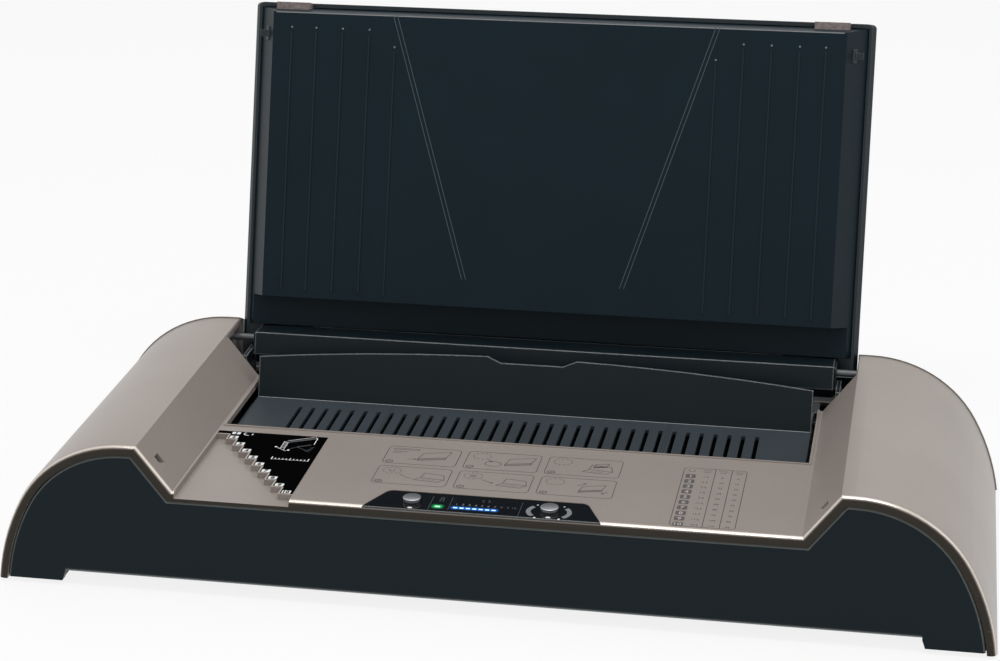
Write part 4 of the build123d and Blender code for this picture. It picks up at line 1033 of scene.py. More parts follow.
class Repeat:
    """A geometry node tree that repeats its shape in rows."""

    def __init__(self) -> None:
        """Builds the tree with its named inputs."""
        self.tree = bpy.data.node_groups.new("rows_of_one_shape", "GeometryNodeTree")
        face = self.tree.interface
        face.new_socket("Geometry", in_out="OUTPUT", socket_type="NodeSocketGeometry")
        self.inputs = {}
        for label, kind in (("Shape", "Geometry"), ("Count", "Int"), ("Step", "Vector"),
                            ("Rows", "Int"), ("Row step", "Vector"), ("Material", "Material")):
            made = face.new_socket(label, in_out="INPUT", socket_type="NodeSocket" + kind)
            self.inputs[label] = made.identifier
        given = self._node("NodeGroupInput").outputs
        rows = self._node("GeometryNodeMeshLine", Count=given["Rows"], Offset=given["Row step"])
        line = self._node("GeometryNodeMeshLine", Count=given["Count"], Offset=given["Step"])
        starts = self._node("GeometryNodeInstanceOnPoints", Points=rows.outputs[0],
                            Instance=line.outputs[0])
        points = self._node("GeometryNodeRealizeInstances", Geometry=starts.outputs[0])
        copies = self._node("GeometryNodeInstanceOnPoints", Points=points.outputs[0],
                            Instance=given["Shape"])
        plain = self._node("GeometryNodeRealizeInstances", Geometry=copies.outputs[0])
        painted = self._node("GeometryNodeSetMaterial", Geometry=plain.outputs[0],
                             Material=given["Material"])
        self._node("NodeGroupOutput", Geometry=painted.outputs[0])

    def _node(self, kind: str, **links: bpy.types.NodeSocket) -> bpy.types.Node:
        """Adds a node.

        Args:
            kind: Its type.
            **links: What its inputs are linked to.

        Returns:
            The node.
        """
        made = self.tree.nodes.new(kind)
        for label, socket in links.items():
            self.tree.links.new(socket, made.inputs[label])
        return made

    def apply(self, shape: bpy.types.Object, count: int, step: Vector, rows: int, row_step: Vector,
              material: bpy.types.Material) -> None:
        """Turns an object's mesh into rows of copies of it.

        Args:
            shape: The object; its mesh is one shape at its first place.
            count: Copies in a row.
            step: From one copy to the next, in metres.
            rows: How many rows.
            row_step: From one row to the next, in metres.
            material: The finish of all of them.
        """
        modifier = shape.modifiers.new("rows", "NODES")
        modifier.node_group = self.tree
        values = {"Count": count, "Step": tuple(step), "Rows": rows, "Row step": tuple(row_step),
                  "Material": material}
        for label, value in values.items():
            modifier[self.inputs[label]] = value
        shape.update_tag()
        graph = bpy.context.evaluated_depsgraph_get()
        done = bpy.data.meshes.new_from_object(shape.evaluated_get(graph))
        shape.modifiers.clear()
        shape.data = done


class Workshop:
    """Makes pieces, dresses nodes and reports each one."""

    def __init__(self, place: MachineFrame) -> None:
        """Starts with an empty shelf of finishes.

        Args:
            place: The machine's frames.
        """
        self.place = place
        self.shelf = FinishShelf()
        self.repeat = Repeat()

    def dress(self, finish: Finish, *nodes: str) -> None:
        """Gives CAD nodes their finish.

        Args:
            finish: The finish.
            *nodes: The nodes' names.
        """
        for node in nodes:
            slots = frame["nodes"][node].data.materials
            slots.clear()
            slots.append(self.shelf.get(finish))
            log.info("dressed %s in %s", node, finish.name.lower())

    def add(self, name: str, sketch: Sketch, matrix: Matrix, finish: Any, slot: str, body: Body,
            smooth: bool = False) -> bpy.types.Object:
        """Places a sketch as a piece of its own.

        Args:
            name: The piece's name.
            sketch: Its faces in mm.
            matrix: From mm to the world.
            finish: Its finish.
            slot: The record's material slot; not used.
            body: The body that it rides on.
            smooth: Whether it is shaded smooth.

        Returns:
            The piece.
        """
        mesh = sketch.mesh(name, matrix, smooth)
        mesh.materials.append(self.shelf.get(finish, name))
        piece = bpy.data.objects.new(name, mesh)
        bpy.context.scene.collection.objects.link(piece)
        return self.seat(piece, body)

    def rows(self, name: str, sketch: Sketch, matrix: Matrix, finish: Any, slot: str, body: Body,
             count: int, step: Point3, rows: int = 1,
             row_step: Point3 = (0.0, 0.0, 0.0)) -> bpy.types.Object:
        """Places rows of copies of one sketch as a piece, by geometry nodes.

        Args:
            name: The piece's name.
            sketch: One shape in mm, at the first place.
            matrix: From mm to the world.
            finish: Its finish.
            slot: The record's material slot; not used.
            body: The body that it rides on.
            count: Copies in a row.
            step: From one copy to the next, in mm.
            rows: How many rows.
            row_step: From one row to the next, in mm.

        Returns:
            The piece.
        """
        piece = bpy.data.objects.new(name, sketch.mesh(name, matrix))
        bpy.context.scene.collection.objects.link(piece)
        turned = matrix.to_3x3()
        self.repeat.apply(piece, count, turned @ Vector(step), rows, turned @ Vector(row_step),
                          self.shelf.get(finish, name))
        return self.seat(piece, body)

    def seat(self, piece: bpy.types.Object, body: Body) -> bpy.types.Object:
        """Lets a piece ride on its body.

        Args:
            piece: The piece.
            body: The body.

        Returns:
            The piece.
        """
        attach(piece, body.value)
        log.info("made %s with %d faces, on %s", piece.name, len(piece.data.polygons), body.value)
        return piece


# ---------------------------------------------------------------- sub-assemblies


@dataclass
class SubAssembly:
    """A part of the machine, which dresses its nodes and makes its fine pieces.

    Args:
        shop: The workshop that makes them.
    """

    shop: Workshop

    def build(self) -> None:
        """Dresses the nodes and adds the pieces."""
        raise NotImplementedError


@dataclass
class GuidePicture:
    """One line picture of the guide, drawn in the mm of its own box.

    Args:
        ink: The sketch that holds it.
        corner: The box's near left corner on the deck.
        line: Width of its lines.
        z: Height of the print.
        detail: The middle of the picture's enlarged detail.
    """

    ink: Sketch
    corner: Point2
    line: float
    z: float
    detail: Point2 = (8.0, 17.2)

    def draw(self, points: Iterable[Point2], width: float | None = None, closed: bool = False) -> None:
        """A line through points of the box.

        Args:
            points: The points.
            width: Its width, where it isn't the usual one.
            closed: Whether it joins up with its start.
        """
        x, y = self.corner
        placed = [(x + across, y + back) for across, back in points]
        self.ink.stroke(placed, width or self.line, self.z, closed)

    def number(self, words: str) -> None:
        """The picture's number in a small ring.

        Args:
            words: The number.
        """
        across, back = 3.6, 2.6
        self.draw(arc((across, back), (1.9, 1.5), 0, 342, 18), 0.5, closed=True)
        self.ink.text(words, (self.corner[0] + across, self.corner[1] + back), 1.7, self.z)

    def dashed_ring(self) -> None:
        """A dashed ring around the enlarged detail."""
        for start in range(0, 360, 30):
            self.draw(arc(self.detail, (5.0, 4.0), start, start + 19, 3))

    def book(self, x: float, y: float, size: float) -> None:
        """A thick document seen at an angle.

        Args:
            x: Its near corner, across.
            y: Its near corner, back.
            size: Its length.
        """
        top = [(x, y), (x + size, y + 0.25 * size), (x + 1.12 * size, y + 0.75 * size),
               (x + 0.12 * size, y + 0.5 * size)]
        self.draw(top, closed=True)
        drop = 0.16 * size
        self.draw([top[0], (x, y - drop), (x + size, y + 0.25 * size - drop), top[1]])
        for share in (0.33, 0.66):
            sheet = [(x, y - share * drop), (x + size, y + 0.25 * size - share * drop)]
            self.draw(sheet, self.line / 2)

    def machine(self, x: float, y: float, size: float) -> None:
        """The machine seen at an angle, with its lid up.

        Args:
            x: Its near corner, across.
            y: Its near corner, back.
            size: Its length.
        """
        base = [(x, y), (x + size, y - 0.12 * size), (x + 1.25 * size, y + 0.14 * size),
                (x + 0.25 * size, y + 0.26 * size)]
        self.draw(base, closed=True)
        lid = [(x + 0.33 * size, y + 0.72 * size), (x + 1.16 * size, y + 0.60 * size)]
        self.draw([base[3], *lid, base[2]])
        for share in (0.3, 0.5, 0.7):
            low = y - 0.12 * share * size
            slot = [(x + share * size, low + 0.05 * size),
                    (x + (share + 0.18) * size, low + 0.2 * size)]
            self.draw(slot, self.line / 2)

    def arrow(self, tail: Point2, tip: Point2) -> None:
        """A thin arrow.

        Args:
            tail: Where it starts.
            tip: Where it points.
        """
        way = (Vector(tip) - Vector(tail)).normalized()
        side = Vector((-way.y, way.x)) * 0.9
        back = Vector(tip) - way * 1.4
        self.draw([tail, tip])
        self.draw([back + side, tip, back - side])

    def measure(self) -> None:
        """Measuring a stack of sheets."""
        self.draw([(3.0, 20.5), (17.0, 20.5), (17.0, 18.9), (3.0, 18.9)], closed=True)
        for end, back in ((11.0, 16.4), (8.0, 14.6)):
            self.draw([(3.0, back), (end, back)])
        self.book(18.5, 8.0, 15.0)
        self.arrow((13.0, 6.4), (17.6, 7.4))

    def insert(self) -> None:
        """Putting the stack into a cover."""
        self.book(22.0, 8.6, 14.0)
        self.draw(arc((15.5, 8.0), (4.4, 3.2), 0, 342, 18), closed=True)
        self.arrow((11.6, 13.4), (14.4, 10.6))

    def load(self) -> None:
        """Standing the cover in the machine."""
        self.machine(20.0, 6.0, 13.0)
        self.book(25.5, 13.0, 7.0)

    def press(self) -> None:
        """Pressing the button."""
        self.machine(22.0, 7.0, 13.0)
        self.draw([(13.0, 13.0), (17.4, 9.2), (21.0, 8.2)])
        self.draw(arc(self.detail, (1.5, 1.5), 120, 420, 14))

    def wait(self) -> None:
        """Waiting while it heats."""
        self.machine(22.0, 7.0, 13.0)
        for row in range(3):
            back = 18.4 - 1.2 * row
            self.draw([(6.2, back), (9.8, back)])
        self.arrow((13.0, 13.0), (20.0, 9.4))

    def lift_out(self) -> None:
        """Lifting the bound book out."""
        self.book(22.0, 7.4, 12.0)
        self.arrow((20.4, 14.0), (24.6, 17.4))
        self.arrow((37.6, 8.6), (34.4, 5.4))


@dataclass
class Casing(SubAssembly):
    """The shell, the fascia, the base and the rear cover, with the guides printed on the deck.

    Args:
        z: Height of the prints.
        line: Width of a printed line.
        box_size: Width and depth of a guide box.
        box_first: The first guide box's near left corner.
        box_step: From one guide box to the next, across and back.
        table_x: The number table's two sides.
        table_y: The table's front and back.
        table_lines: The lines between the table's columns.
        columns: The middle, the step and the first figure of each column of figures.
        badge_first: The first badge's middle.
        badge_half: A badge's half-sizes.
        badge_step: From one badge to the next.
        badges: How many badges there are.
    """

    z: float = DECK_Z + PRINT_LIFT
    line: float = 0.36
    box_size: Point2 = (40.4, 23.0)
    box_first: Point2 = (-65.4, 58.2)
    box_step: Point2 = (44.7, -26.8)
    table_x: Point2 = (98.0, 131.8)
    table_y: Point2 = (4.5, 79.0)
    table_lines: tuple[float, ...] = (114.9, 123.8)
    columns: tuple[Point3, ...] = ((110.6, 2.0, 1.5), (119.4, 12.0, 8.0), (127.9, 10.0, 6.0))
    badge_first: Point2 = (102.3, 68.2)
    badge_half: Point2 = (2.7, 2.5)
    badge_step: float = -6.84
    badges: int = 10

    def build(self) -> None:
        """Dresses the casing and prints its guides."""
        dress = self.shop.dress
        dress(Finish.SHELL, "top_shell")
        dress(Finish.FASCIA, "front_fascia")
        dress(Finish.REAR, "rear_cover")
        dress(Finish.BASE, "base_tray")
        dress(Finish.FOOT, "rubber_feet")
        dress(Finish.ZINC, "base_screws")
        self._guide_boxes()
        self._guide_pictures()
        self._table()
        self._badges()

    def _guide_boxes(self) -> None:
        """Six thin round-cornered boxes in two rows."""
        width, depth = self.box_size
        x, y = self.box_first
        box = Sketch()
        box.stroke(rounded_box(x, x + width, y, y + depth, 2.4), self.line, self.z, closed=True)
        self.shop.rows("guide_boxes", box, self.shop.place.deck, Finish.GREY_INK, "shell_plastic",
                       Body.CASING, 3, (self.box_step[0], 0.0, 0.0), 2, (0.0, self.box_step[1], 0.0))

    def _guide_pictures(self) -> None:
        """A numbered line picture in each box."""
        steps = (GuidePicture.measure, GuidePicture.insert, GuidePicture.load, GuidePicture.press,
                 GuidePicture.wait, GuidePicture.lift_out)
        ink = Sketch()
        for index, step in enumerate(steps):
            x = self.box_first[0] + self.box_step[0] * (index % 3)
            y = self.box_first[1] + self.box_step[1] * (index // 3)
            picture = GuidePicture(ink, (x, y), self.line, self.z)
            picture.number(str(index + 1))
            if index:
                picture.dashed_ring()
            step(picture)
        self.shop.add("guide_pictures", ink, self.shop.place.deck, Finish.GREY_INK, "shell_plastic",
                      Body.CASING)

    def _table(self) -> None:
        """The number table's lines, headings and small figures."""
        x0, x1 = self.table_x
        y0, y1 = self.table_y
        badge_x, first_y = self.badge_first
        ink = Sketch()
        ink.stroke(rounded_box(x0, x1, y0, y1, 2.2), self.line, self.z, closed=True)
        for x in self.table_lines:
            ink.stroke([(x, y0), (x, y1)], self.line, self.z)
        ink.stroke(arc((badge_x, y1 - 3.4), (1.7, 1.5), 120, 400, 14), self.line, self.z)
        for x, step, first in self.columns:
            for half, drop in ((2.6, 2.4), (1.8, 4.6)):
                ink.stroke([(x - half, y1 - drop), (x + half, y1 - drop)], self.line, self.z)
            for row in range(self.badges):
                figure = f"{first + step * row:g}"
                ink.text(figure, (x, first_y + self.badge_step * row), 1.9, self.z)
        self.shop.add("table_figures", ink, self.shop.place.deck, Finish.GREY_INK, "shell_plastic",
                      Body.CASING)

    def _badges(self) -> None:
        """A column of dark badges with the steps' numbers."""
        x, y = self.badge_first
        half_x, half_y = self.badge_half
        badge, figures = Sketch(), Sketch()
        badge.face(rounded_box(x - half_x, x + half_x, y - half_y, y + half_y, 1.0), self.z)
        self.shop.rows("table_badges", badge, self.shop.place.deck, Finish.BADGE_INK, "shell_plastic",
                       Body.CASING, self.badges, (0.0, self.badge_step, 0.0))
        for row in range(self.badges):
            figures.text(str(row + 1), (x, y + self.badge_step * row), 3.4, self.z + OVERPRINT, 0.06)
        self.shop.add("badge_figures", figures, self.shop.place.deck, Finish.PALE_INK, "shell_plastic",
                      Body.CASING)


@dataclass
class Inside(SubAssembly):
    """The heater, the boards and the hinge parts inside the casing.

    Args:
        pin_first: The first soldered pin's place on the mains board.
        pin_pitch: From one pin to the next.
        pins: How many pins there are.
        board_z: Height of the mains board's top.
    """

    pin_first: Point2 = (218.0, 52.0)
    pin_pitch: float = 5.0
    pins: int = 4
    board_z: float = 20.1

    def build(self) -> None:
        """Dresses all that sits inside."""
        dress = self.shop.dress
        dress(Finish.PLATE, "heating_plate")
        dress(Finish.FILM, "heater_element")
        dress(Finish.FIBRE, "insulation_board")
        dress(Finish.ZINC, "heat_shield", "left_hinge_bracket", "right_hinge_bracket", "board_screws",
              "mains_screws", "selector_encoder")
        dress(Finish.BOARD, "control_board", "mains_board")
        dress(Finish.STACK, "transformer")
        dress(Finish.PART, "thermal_fuse", "temperature_sensor", "heater_relay", "filter_capacitors",
              "power_switch", "power_inlet")
        dress(Finish.BRASS, "inlet_blades")
        dress(Finish.BASE, "panel_carrier", "left_tray_rail", "right_tray_rail")
        dress(Finish.WALL, "rear_guide")
        self._solder()

    def _solder(self) -> None:
        """A row of soldered pins on the mains board."""
        pin = Sketch()
        profile = [(1.1, 0.0), (0.9, 0.5), (0.4, 1.1), (0.0, 1.2)]
        pin.turned(self.pin_first, [(radius, self.board_z + rise) for radius, rise in profile], 10)
        self.shop.rows("board_pins", pin, self.shop.place.deck, Finish.ZINC, "steel_zinc", Body.CASING,
                       self.pins, (self.pin_pitch, 0.0, 0.0))


@dataclass
class Gauge(SubAssembly):
    """The black plate of the thickness gauge with its numbered steps.

    Args:
        z: Height of the prints.
        edge_tile: The middle of the first tile, which stands behind the steps.
        first_tile: The middle of the tile on the first step.
        step: From one step to the next.
        steps: How many steps there are.
        tile: A tile's half-sizes.
        edge_tile_trim: How much shorter the first tile is at each end.
        figure: Height of the figures.
        stair: The first step's inner corner.
        stair_top: How much the line along the back lies in front of the step behind it.
        stair_x: Where the pale line along the steps starts and ends.
        stair_line: That line's width.
        ruler: The ruler's left end.
        ruler_pitch: From one tick to the next.
        ruler_ticks: The length of each tick.
    """

    z: float = DECK_Z + PRINT_LIFT
    edge_tile: Point2 = (-154.6, 84.2)
    first_tile: Point2 = (-154.4, 78.4)
    step: Point2 = (6.0, -8.4)
    steps: int = 9
    tile: Point2 = (2.4, 1.8)
    edge_tile_trim: float = 0.3
    figure: float = 2.9
    stair: Point2 = (-157.95, 75.75)
    stair_top: float = -1.7
    stair_x: Point2 = (-164.4, -103.2)
    stair_line: float = 0.45
    ruler: Point2 = (-125.9, 53.1)
    ruler_pitch: float = 2.05
    ruler_ticks: tuple[float, ...] = (2.6, 1.1, 1.1, 1.1, 1.1, 2.0, 1.1, 1.1, 1.1, 1.1, 2.6)

    def build(self) -> None:
        """Dresses and prints the gauge."""
        self.shop.dress(Finish.GAUGE, "gauge_plate")
        self._edge()
        self._tiles()
        self._drawing()

    def _edge(self) -> None:
        """A pale line along the stairs."""
        x, y = self.stair
        way = [(self.stair_x[0], y - self.step[1] + self.stair_top)]
        for index in range(self.steps):
            corner = (x + self.step[0] * index, y + self.step[1] * index)
            way += [(corner[0], way[-1][1]), corner]
        way.append((self.stair_x[1], way[-1][1]))
        edge = Sketch()
        edge.stroke(way, self.stair_line, self.z)
        self.shop.add("gauge_edge", edge, self.shop.place.deck, Finish.EDGE_INK, "shell_plastic",
                      Body.CASING)

    def _tiles(self) -> None:
        """White tiles with black figures."""
        tiles, figures = Sketch(), Sketch()
        x, y = self.first_tile
        places = [self.edge_tile]
        places += [(x + self.step[0] * i, y + self.step[1] * i) for i in range(self.steps)]
        for number, (x, y) in enumerate(places, 1):
            half_x, half_y = self.tile
            half_y -= self.edge_tile_trim if number == 1 else 0.0
            tiles.face(rounded_box(x - half_x, x + half_x, y - half_y, y + half_y, 0.4), self.z)
            figures.text(str(number), (x, y), self.figure, self.z + OVERPRINT, 0.2)
        for start, end in ((125, 285), (-40, 25)):
            tiles.stroke(arc((-147.6, 84.0), (2.5, 1.9), start, end, 8), 0.6, self.z)
        self.shop.add("gauge_tiles", tiles, self.shop.place.deck, Finish.WHITE_INK, "gauge_black",
                      Body.CASING)
        self.shop.add("gauge_figures", figures, self.shop.place.deck, Finish.BLACK_INK, "gauge_black",
                      Body.CASING)

    def _drawing(self) -> None:
        """A book held in the gauge, over a short ruler."""
        white, dim = Sketch(), Sketch()
        self._held_book(white, dim)
        x, y = self.ruler
        end = x + self.ruler_pitch * (len(self.ruler_ticks) - 1)
        for index, reach in enumerate(self.ruler_ticks):
            at = x + self.ruler_pitch * index
            white.stroke([(at, y - reach * 0.4), (at, y + reach)], 0.55, self.z)
        white.stroke([(x, y - 0.5), (end, y - 0.5)], 0.25, self.z)
        self.shop.add("gauge_drawing", white, self.shop.place.deck, Finish.WHITE_INK, "gauge_black",
                      Body.CASING)
        self.shop.add("gauge_shading", dim, self.shop.place.deck, Finish.DIM_INK, "gauge_black",
                      Body.CASING)

    def _held_book(self, white: Sketch, dim: Sketch) -> None:
        """The book's spine, back and pages, with a dot for each jaw.

        Args:
            white: The sketch of its bright lines.
            dim: The sketch of its shaded parts.
        """
        white.stroke([(-124.9, 66.8), (-122.6, 65.6), (-122.6, 76.0), (-124.9, 77.2)], 0.35, self.z,
                     closed=True)
        for row in range(5):
            y = 68.0 + 1.8 * row
            white.stroke([(-124.9, y), (-122.6, y + 1.4)], 0.3, self.z)
        white.stroke([(-123.4, 78.4), (-109.9, 85.4)], 0.4, self.z)
        white.stroke([(-109.2, 85.2), (-107.8, 84.1), (-107.7, 75.4)], 0.45, self.z)
        for middle in ((-127.7, 69.2), (-119.9, 65.7)):
            white.face(arc(middle, (0.8, 0.8), 0, 330, 11), self.z)
        white.stroke([(-126.6, 68.2), (-125.2, 67.2)], 0.4, self.z)
        white.stroke([(-122.4, 65.0), (-121.0, 64.4)], 0.4, self.z)
        dim.stroke([(-122.4, 76.6), (-108.6, 83.8)], 1.6, self.z)
        dim.stroke([(-119.5, 67.3), (-116.2, 70.8), (-108.1, 65.2)], 0.35, self.z)
        dim.stroke([(-116.2, 70.8), (-109.2, 74.8)], 0.8, self.z)
        for row in range(3):
            page = [(-110.6 + row, 66.0 + 2.2 * row), (-107.4 + 0.4 * row, 67.6 + 2.0 * row)]
            dim.stroke(page, 0.35, self.z)


@dataclass
class ControlPanel(SubAssembly):
    """The glossy panel with its buttons and lamps.

    Args:
        z: Height of the prints on the lens.
        cap_z: Height of the caps' shoulders.
        caps: The middles of the power button and the selector.
        light_first: The first scale lamp's middle.
        light_pitch: From one lamp to the next.
        lamps: How many lamps the scale has.
        lit: How many of them are lit.
        ready: The ready lamp's middle.
        dividers: Each dividing line's place across and its front end.
        divider_back: Their rear end.
        bracket_y: The middle of the selector's brackets.
        bracket: The brackets' radii.
    """

    z: float = DECK_Z - 0.2 + PRINT_LIFT
    cap_z: float = 62.2
    caps: tuple[Point2, Point2] = ((-38.4, 12.0), (34.7, 12.0))
    light_first: Point2 = (-14.4, 7.2)
    light_pitch: float = 3.4
    lamps: int = 10
    lit: int = 7
    ready: Point2 = (-23.8, 7.2)
    dividers: tuple[Point2, ...] = ((-28.2, 1.8), (-17.8, 4.0), (19.5, 2.2))
    divider_back: float = 19.6
    bracket_y: float = 10.2
    bracket: Point2 = (10.8, 8.8)

    def build(self) -> None:
        """Dresses the panel and adds its marks and lights."""
        dress = self.shop.dress
        dress(Finish.LENS, "control_lens")
        dress(Finish.CAP_SIDE, "power_button", "selector_knob")
        dress(Finish.GREEN_LAMP, "ready_light")
        dress(Finish.DARK_LAMP, "scale_lights")
        self._marks()
        self._brackets()
        self._scale_window()
        self._ready_window()
        self._cap_tops()

    def _marks(self) -> None:
        """Thin dividing lines, the lamps' figures and small signs."""
        lines, signs = Sketch(), Sketch()
        for x, low in self.dividers:
            lines.stroke([(x, low), (x, self.divider_back)], 0.25, self.z)
        for number in range(1, self.lamps + 1):
            x = self.light_first[0] + self.light_pitch * (number - 1)
            target = signs if number <= self.lit else lines
            target.text(str(number), (x, 11.6), 2.1, self.z)
        for start, end in ((120, 250), (-60, 70)):
            lines.stroke(arc((0.4, 17.6), (2.0, 1.5), start, end, 8), 0.35, self.z)
        x, y = self.ready[0] + 0.8, 16.0
        hand = [(x - 1.0, y - 2.0), (x + 1.0, y - 2.0), (x + 0.8, y + 0.6), (x - 0.8, y + 0.6)]
        lines.stroke(hand, 0.35, self.z, closed=True)
        lines.stroke(arc((x, y + 1.8), (0.8, 1.2), -60, 240, 10), 0.35, self.z)
        x, y = self.caps[0]
        for side in (-1, 0, 1):
            signs.stroke([(x + 1.6 * side, y + 5.8), (x + 2.2 * side, y + 7.4)], 0.35, self.z)
        self.shop.add("panel_lines", lines, self.shop.place.deck, Finish.DIM_INK, "lens_black",
                      Body.CASING)
        self.shop.add("panel_signs", signs, self.shop.place.deck, Finish.SILVER_INK, "lens_black",
                      Body.CASING)

    def _brackets(self) -> None:
        """Two silver brackets beside the selector, with a dot at each end."""
        silver, bright = Sketch(), Sketch()
        centre = (self.caps[1][0], self.bracket_y)
        for start, end in ((142, 222), (-42, 38)):
            silver.stroke(arc(centre, self.bracket, start, end, 12), 2.5, self.z)
        dots = (self.bracket[0] + 0.6, self.bracket[1] + 0.8)
        for angle, size in ((236, 0.7), (-56, 0.7), (128, 0.5), (52, 0.5)):
            middle = arc(centre, dots, angle, angle, 1)[0]
            bright.face(arc(middle, (size, size), 0, 330, 11), self.z)
        for x, y in self.caps:
            bright.face(arc((x + 0.6, y - 8.6), (1.3, 0.9), 0, 340, 17), self.z)
        self.shop.add("selector_brackets", silver, self.shop.place.deck, Finish.SILVER_INK,
                      "lens_black", Body.CASING)
        self.shop.add("panel_dots", bright, self.shop.place.deck, Finish.WHITE_INK, "lens_black",
                      Body.CASING)

    def _scale_window(self) -> None:
        """A smoked strip over the scale's lamps, where the lit ones show as bars with a halo."""
        deck = self.shop.place.deck
        x, y = self.light_first
        first = deck @ Vector((x, y, self.z))
        end_x = x + self.light_pitch * (self.lamps - 1)
        strip = Sketch()
        strip.face(rounded_box(x - 3.0, end_x + 2.2, y - 2.8, y + 2.8, 0.8), self.z - UNDERPRINT)
        glow = GlowStrip((first.x, first.y), self.light_pitch * MM, self.lit, (0.00095, 0.0005),
                         (0.62, 0.86, 1.0), (0.015, 0.16, 0.62))
        self.shop.add("scale_glow", strip, deck, glow, "lens_black", Body.CASING)

    def _ready_window(self) -> None:
        """A smoked round window over the ready lamp."""
        deck = self.shop.place.deck
        ready = deck @ Vector((*self.ready, self.z))
        patch = Sketch()
        patch.face(arc(self.ready, (4.2, 3.9), 0, 352, 44), self.z - UNDERPRINT)
        glow = GlowStrip((ready.x, ready.y), self.light_pitch * MM, 1, (0.0012, 0.0006),
                         (0.50, 1.0, 0.60), (0.02, 0.42, 0.12), 0.0030)
        self.shop.add("ready_glow", patch, deck, glow, "lens_black", Body.CASING)

    def _cap_tops(self) -> None:
        """A flat satin top on each cap, which rides on it."""
        profile = [(4.7, -0.35), (4.82, -0.1), (4.72, 0.08), (4.3, 0.18), (0.0, 0.26)]
        tops = (("power_top", self.caps[0], Body.POWER), ("selector_top", self.caps[1], Body.SELECTOR))
        for name, middle, body in tops:
            top = Sketch()
            top.turned(middle, [(radius, self.cap_z + rise) for radius, rise in profile])
            self.shop.add(name, top, self.shop.place.deck, Finish.CAP_TOP, "cap_silver", body,
                          smooth=True)


@dataclass
class Carriage(SubAssembly):
    """The slotted tray, the guide wall and their arms.

    Args:
        z: Height of the lines on the tray.
        lines_x: The fine lines' places across.
        lines_y: The fine lines' front and back ends.
        fold: Half the length of the painted highlight along the fold, and its place.
    """

    z: float = DECK_Z - 5.2 + PRINT_LIFT
    lines_x: tuple[float, ...] = (-80.1, -78.5, 81.0, 82.6)
    lines_y: Point2 = (96.0, 150.0)
    fold: Point2 = (160.9, 151.75)

    def build(self) -> None:
        """Dresses the carriage and adds its lines."""
        self.shop.dress(Finish.TRAY, "document_tray")
        self.shop.dress(Finish.WALL, "guide_wall", "left_tray_arm", "right_tray_arm")
        self._lines()

    def _lines(self) -> None:
        """Two pairs of fine moulded lines between the slots, and a painted highlight along the fold."""
        fine, fold = Sketch(), Sketch()
        for x in self.lines_x:
            fine.stroke([(x, self.lines_y[0]), (x, self.lines_y[1])], 0.35, self.z)
        half, y = self.fold
        # Painted highlight along the fold.
        fold.stroke([(-half, y), (half, y)], 0.6, self.z)
        self.shop.add("tray_lines", fine, self.shop.place.deck, Finish.DARK_INK, "tray_plastic",
                      Body.TRAY)
        self.shop.add("tray_fold_highlight", fold, self.shop.place.deck, Finish.FOLD_INK, "tray_plastic",
                      Body.TRAY)


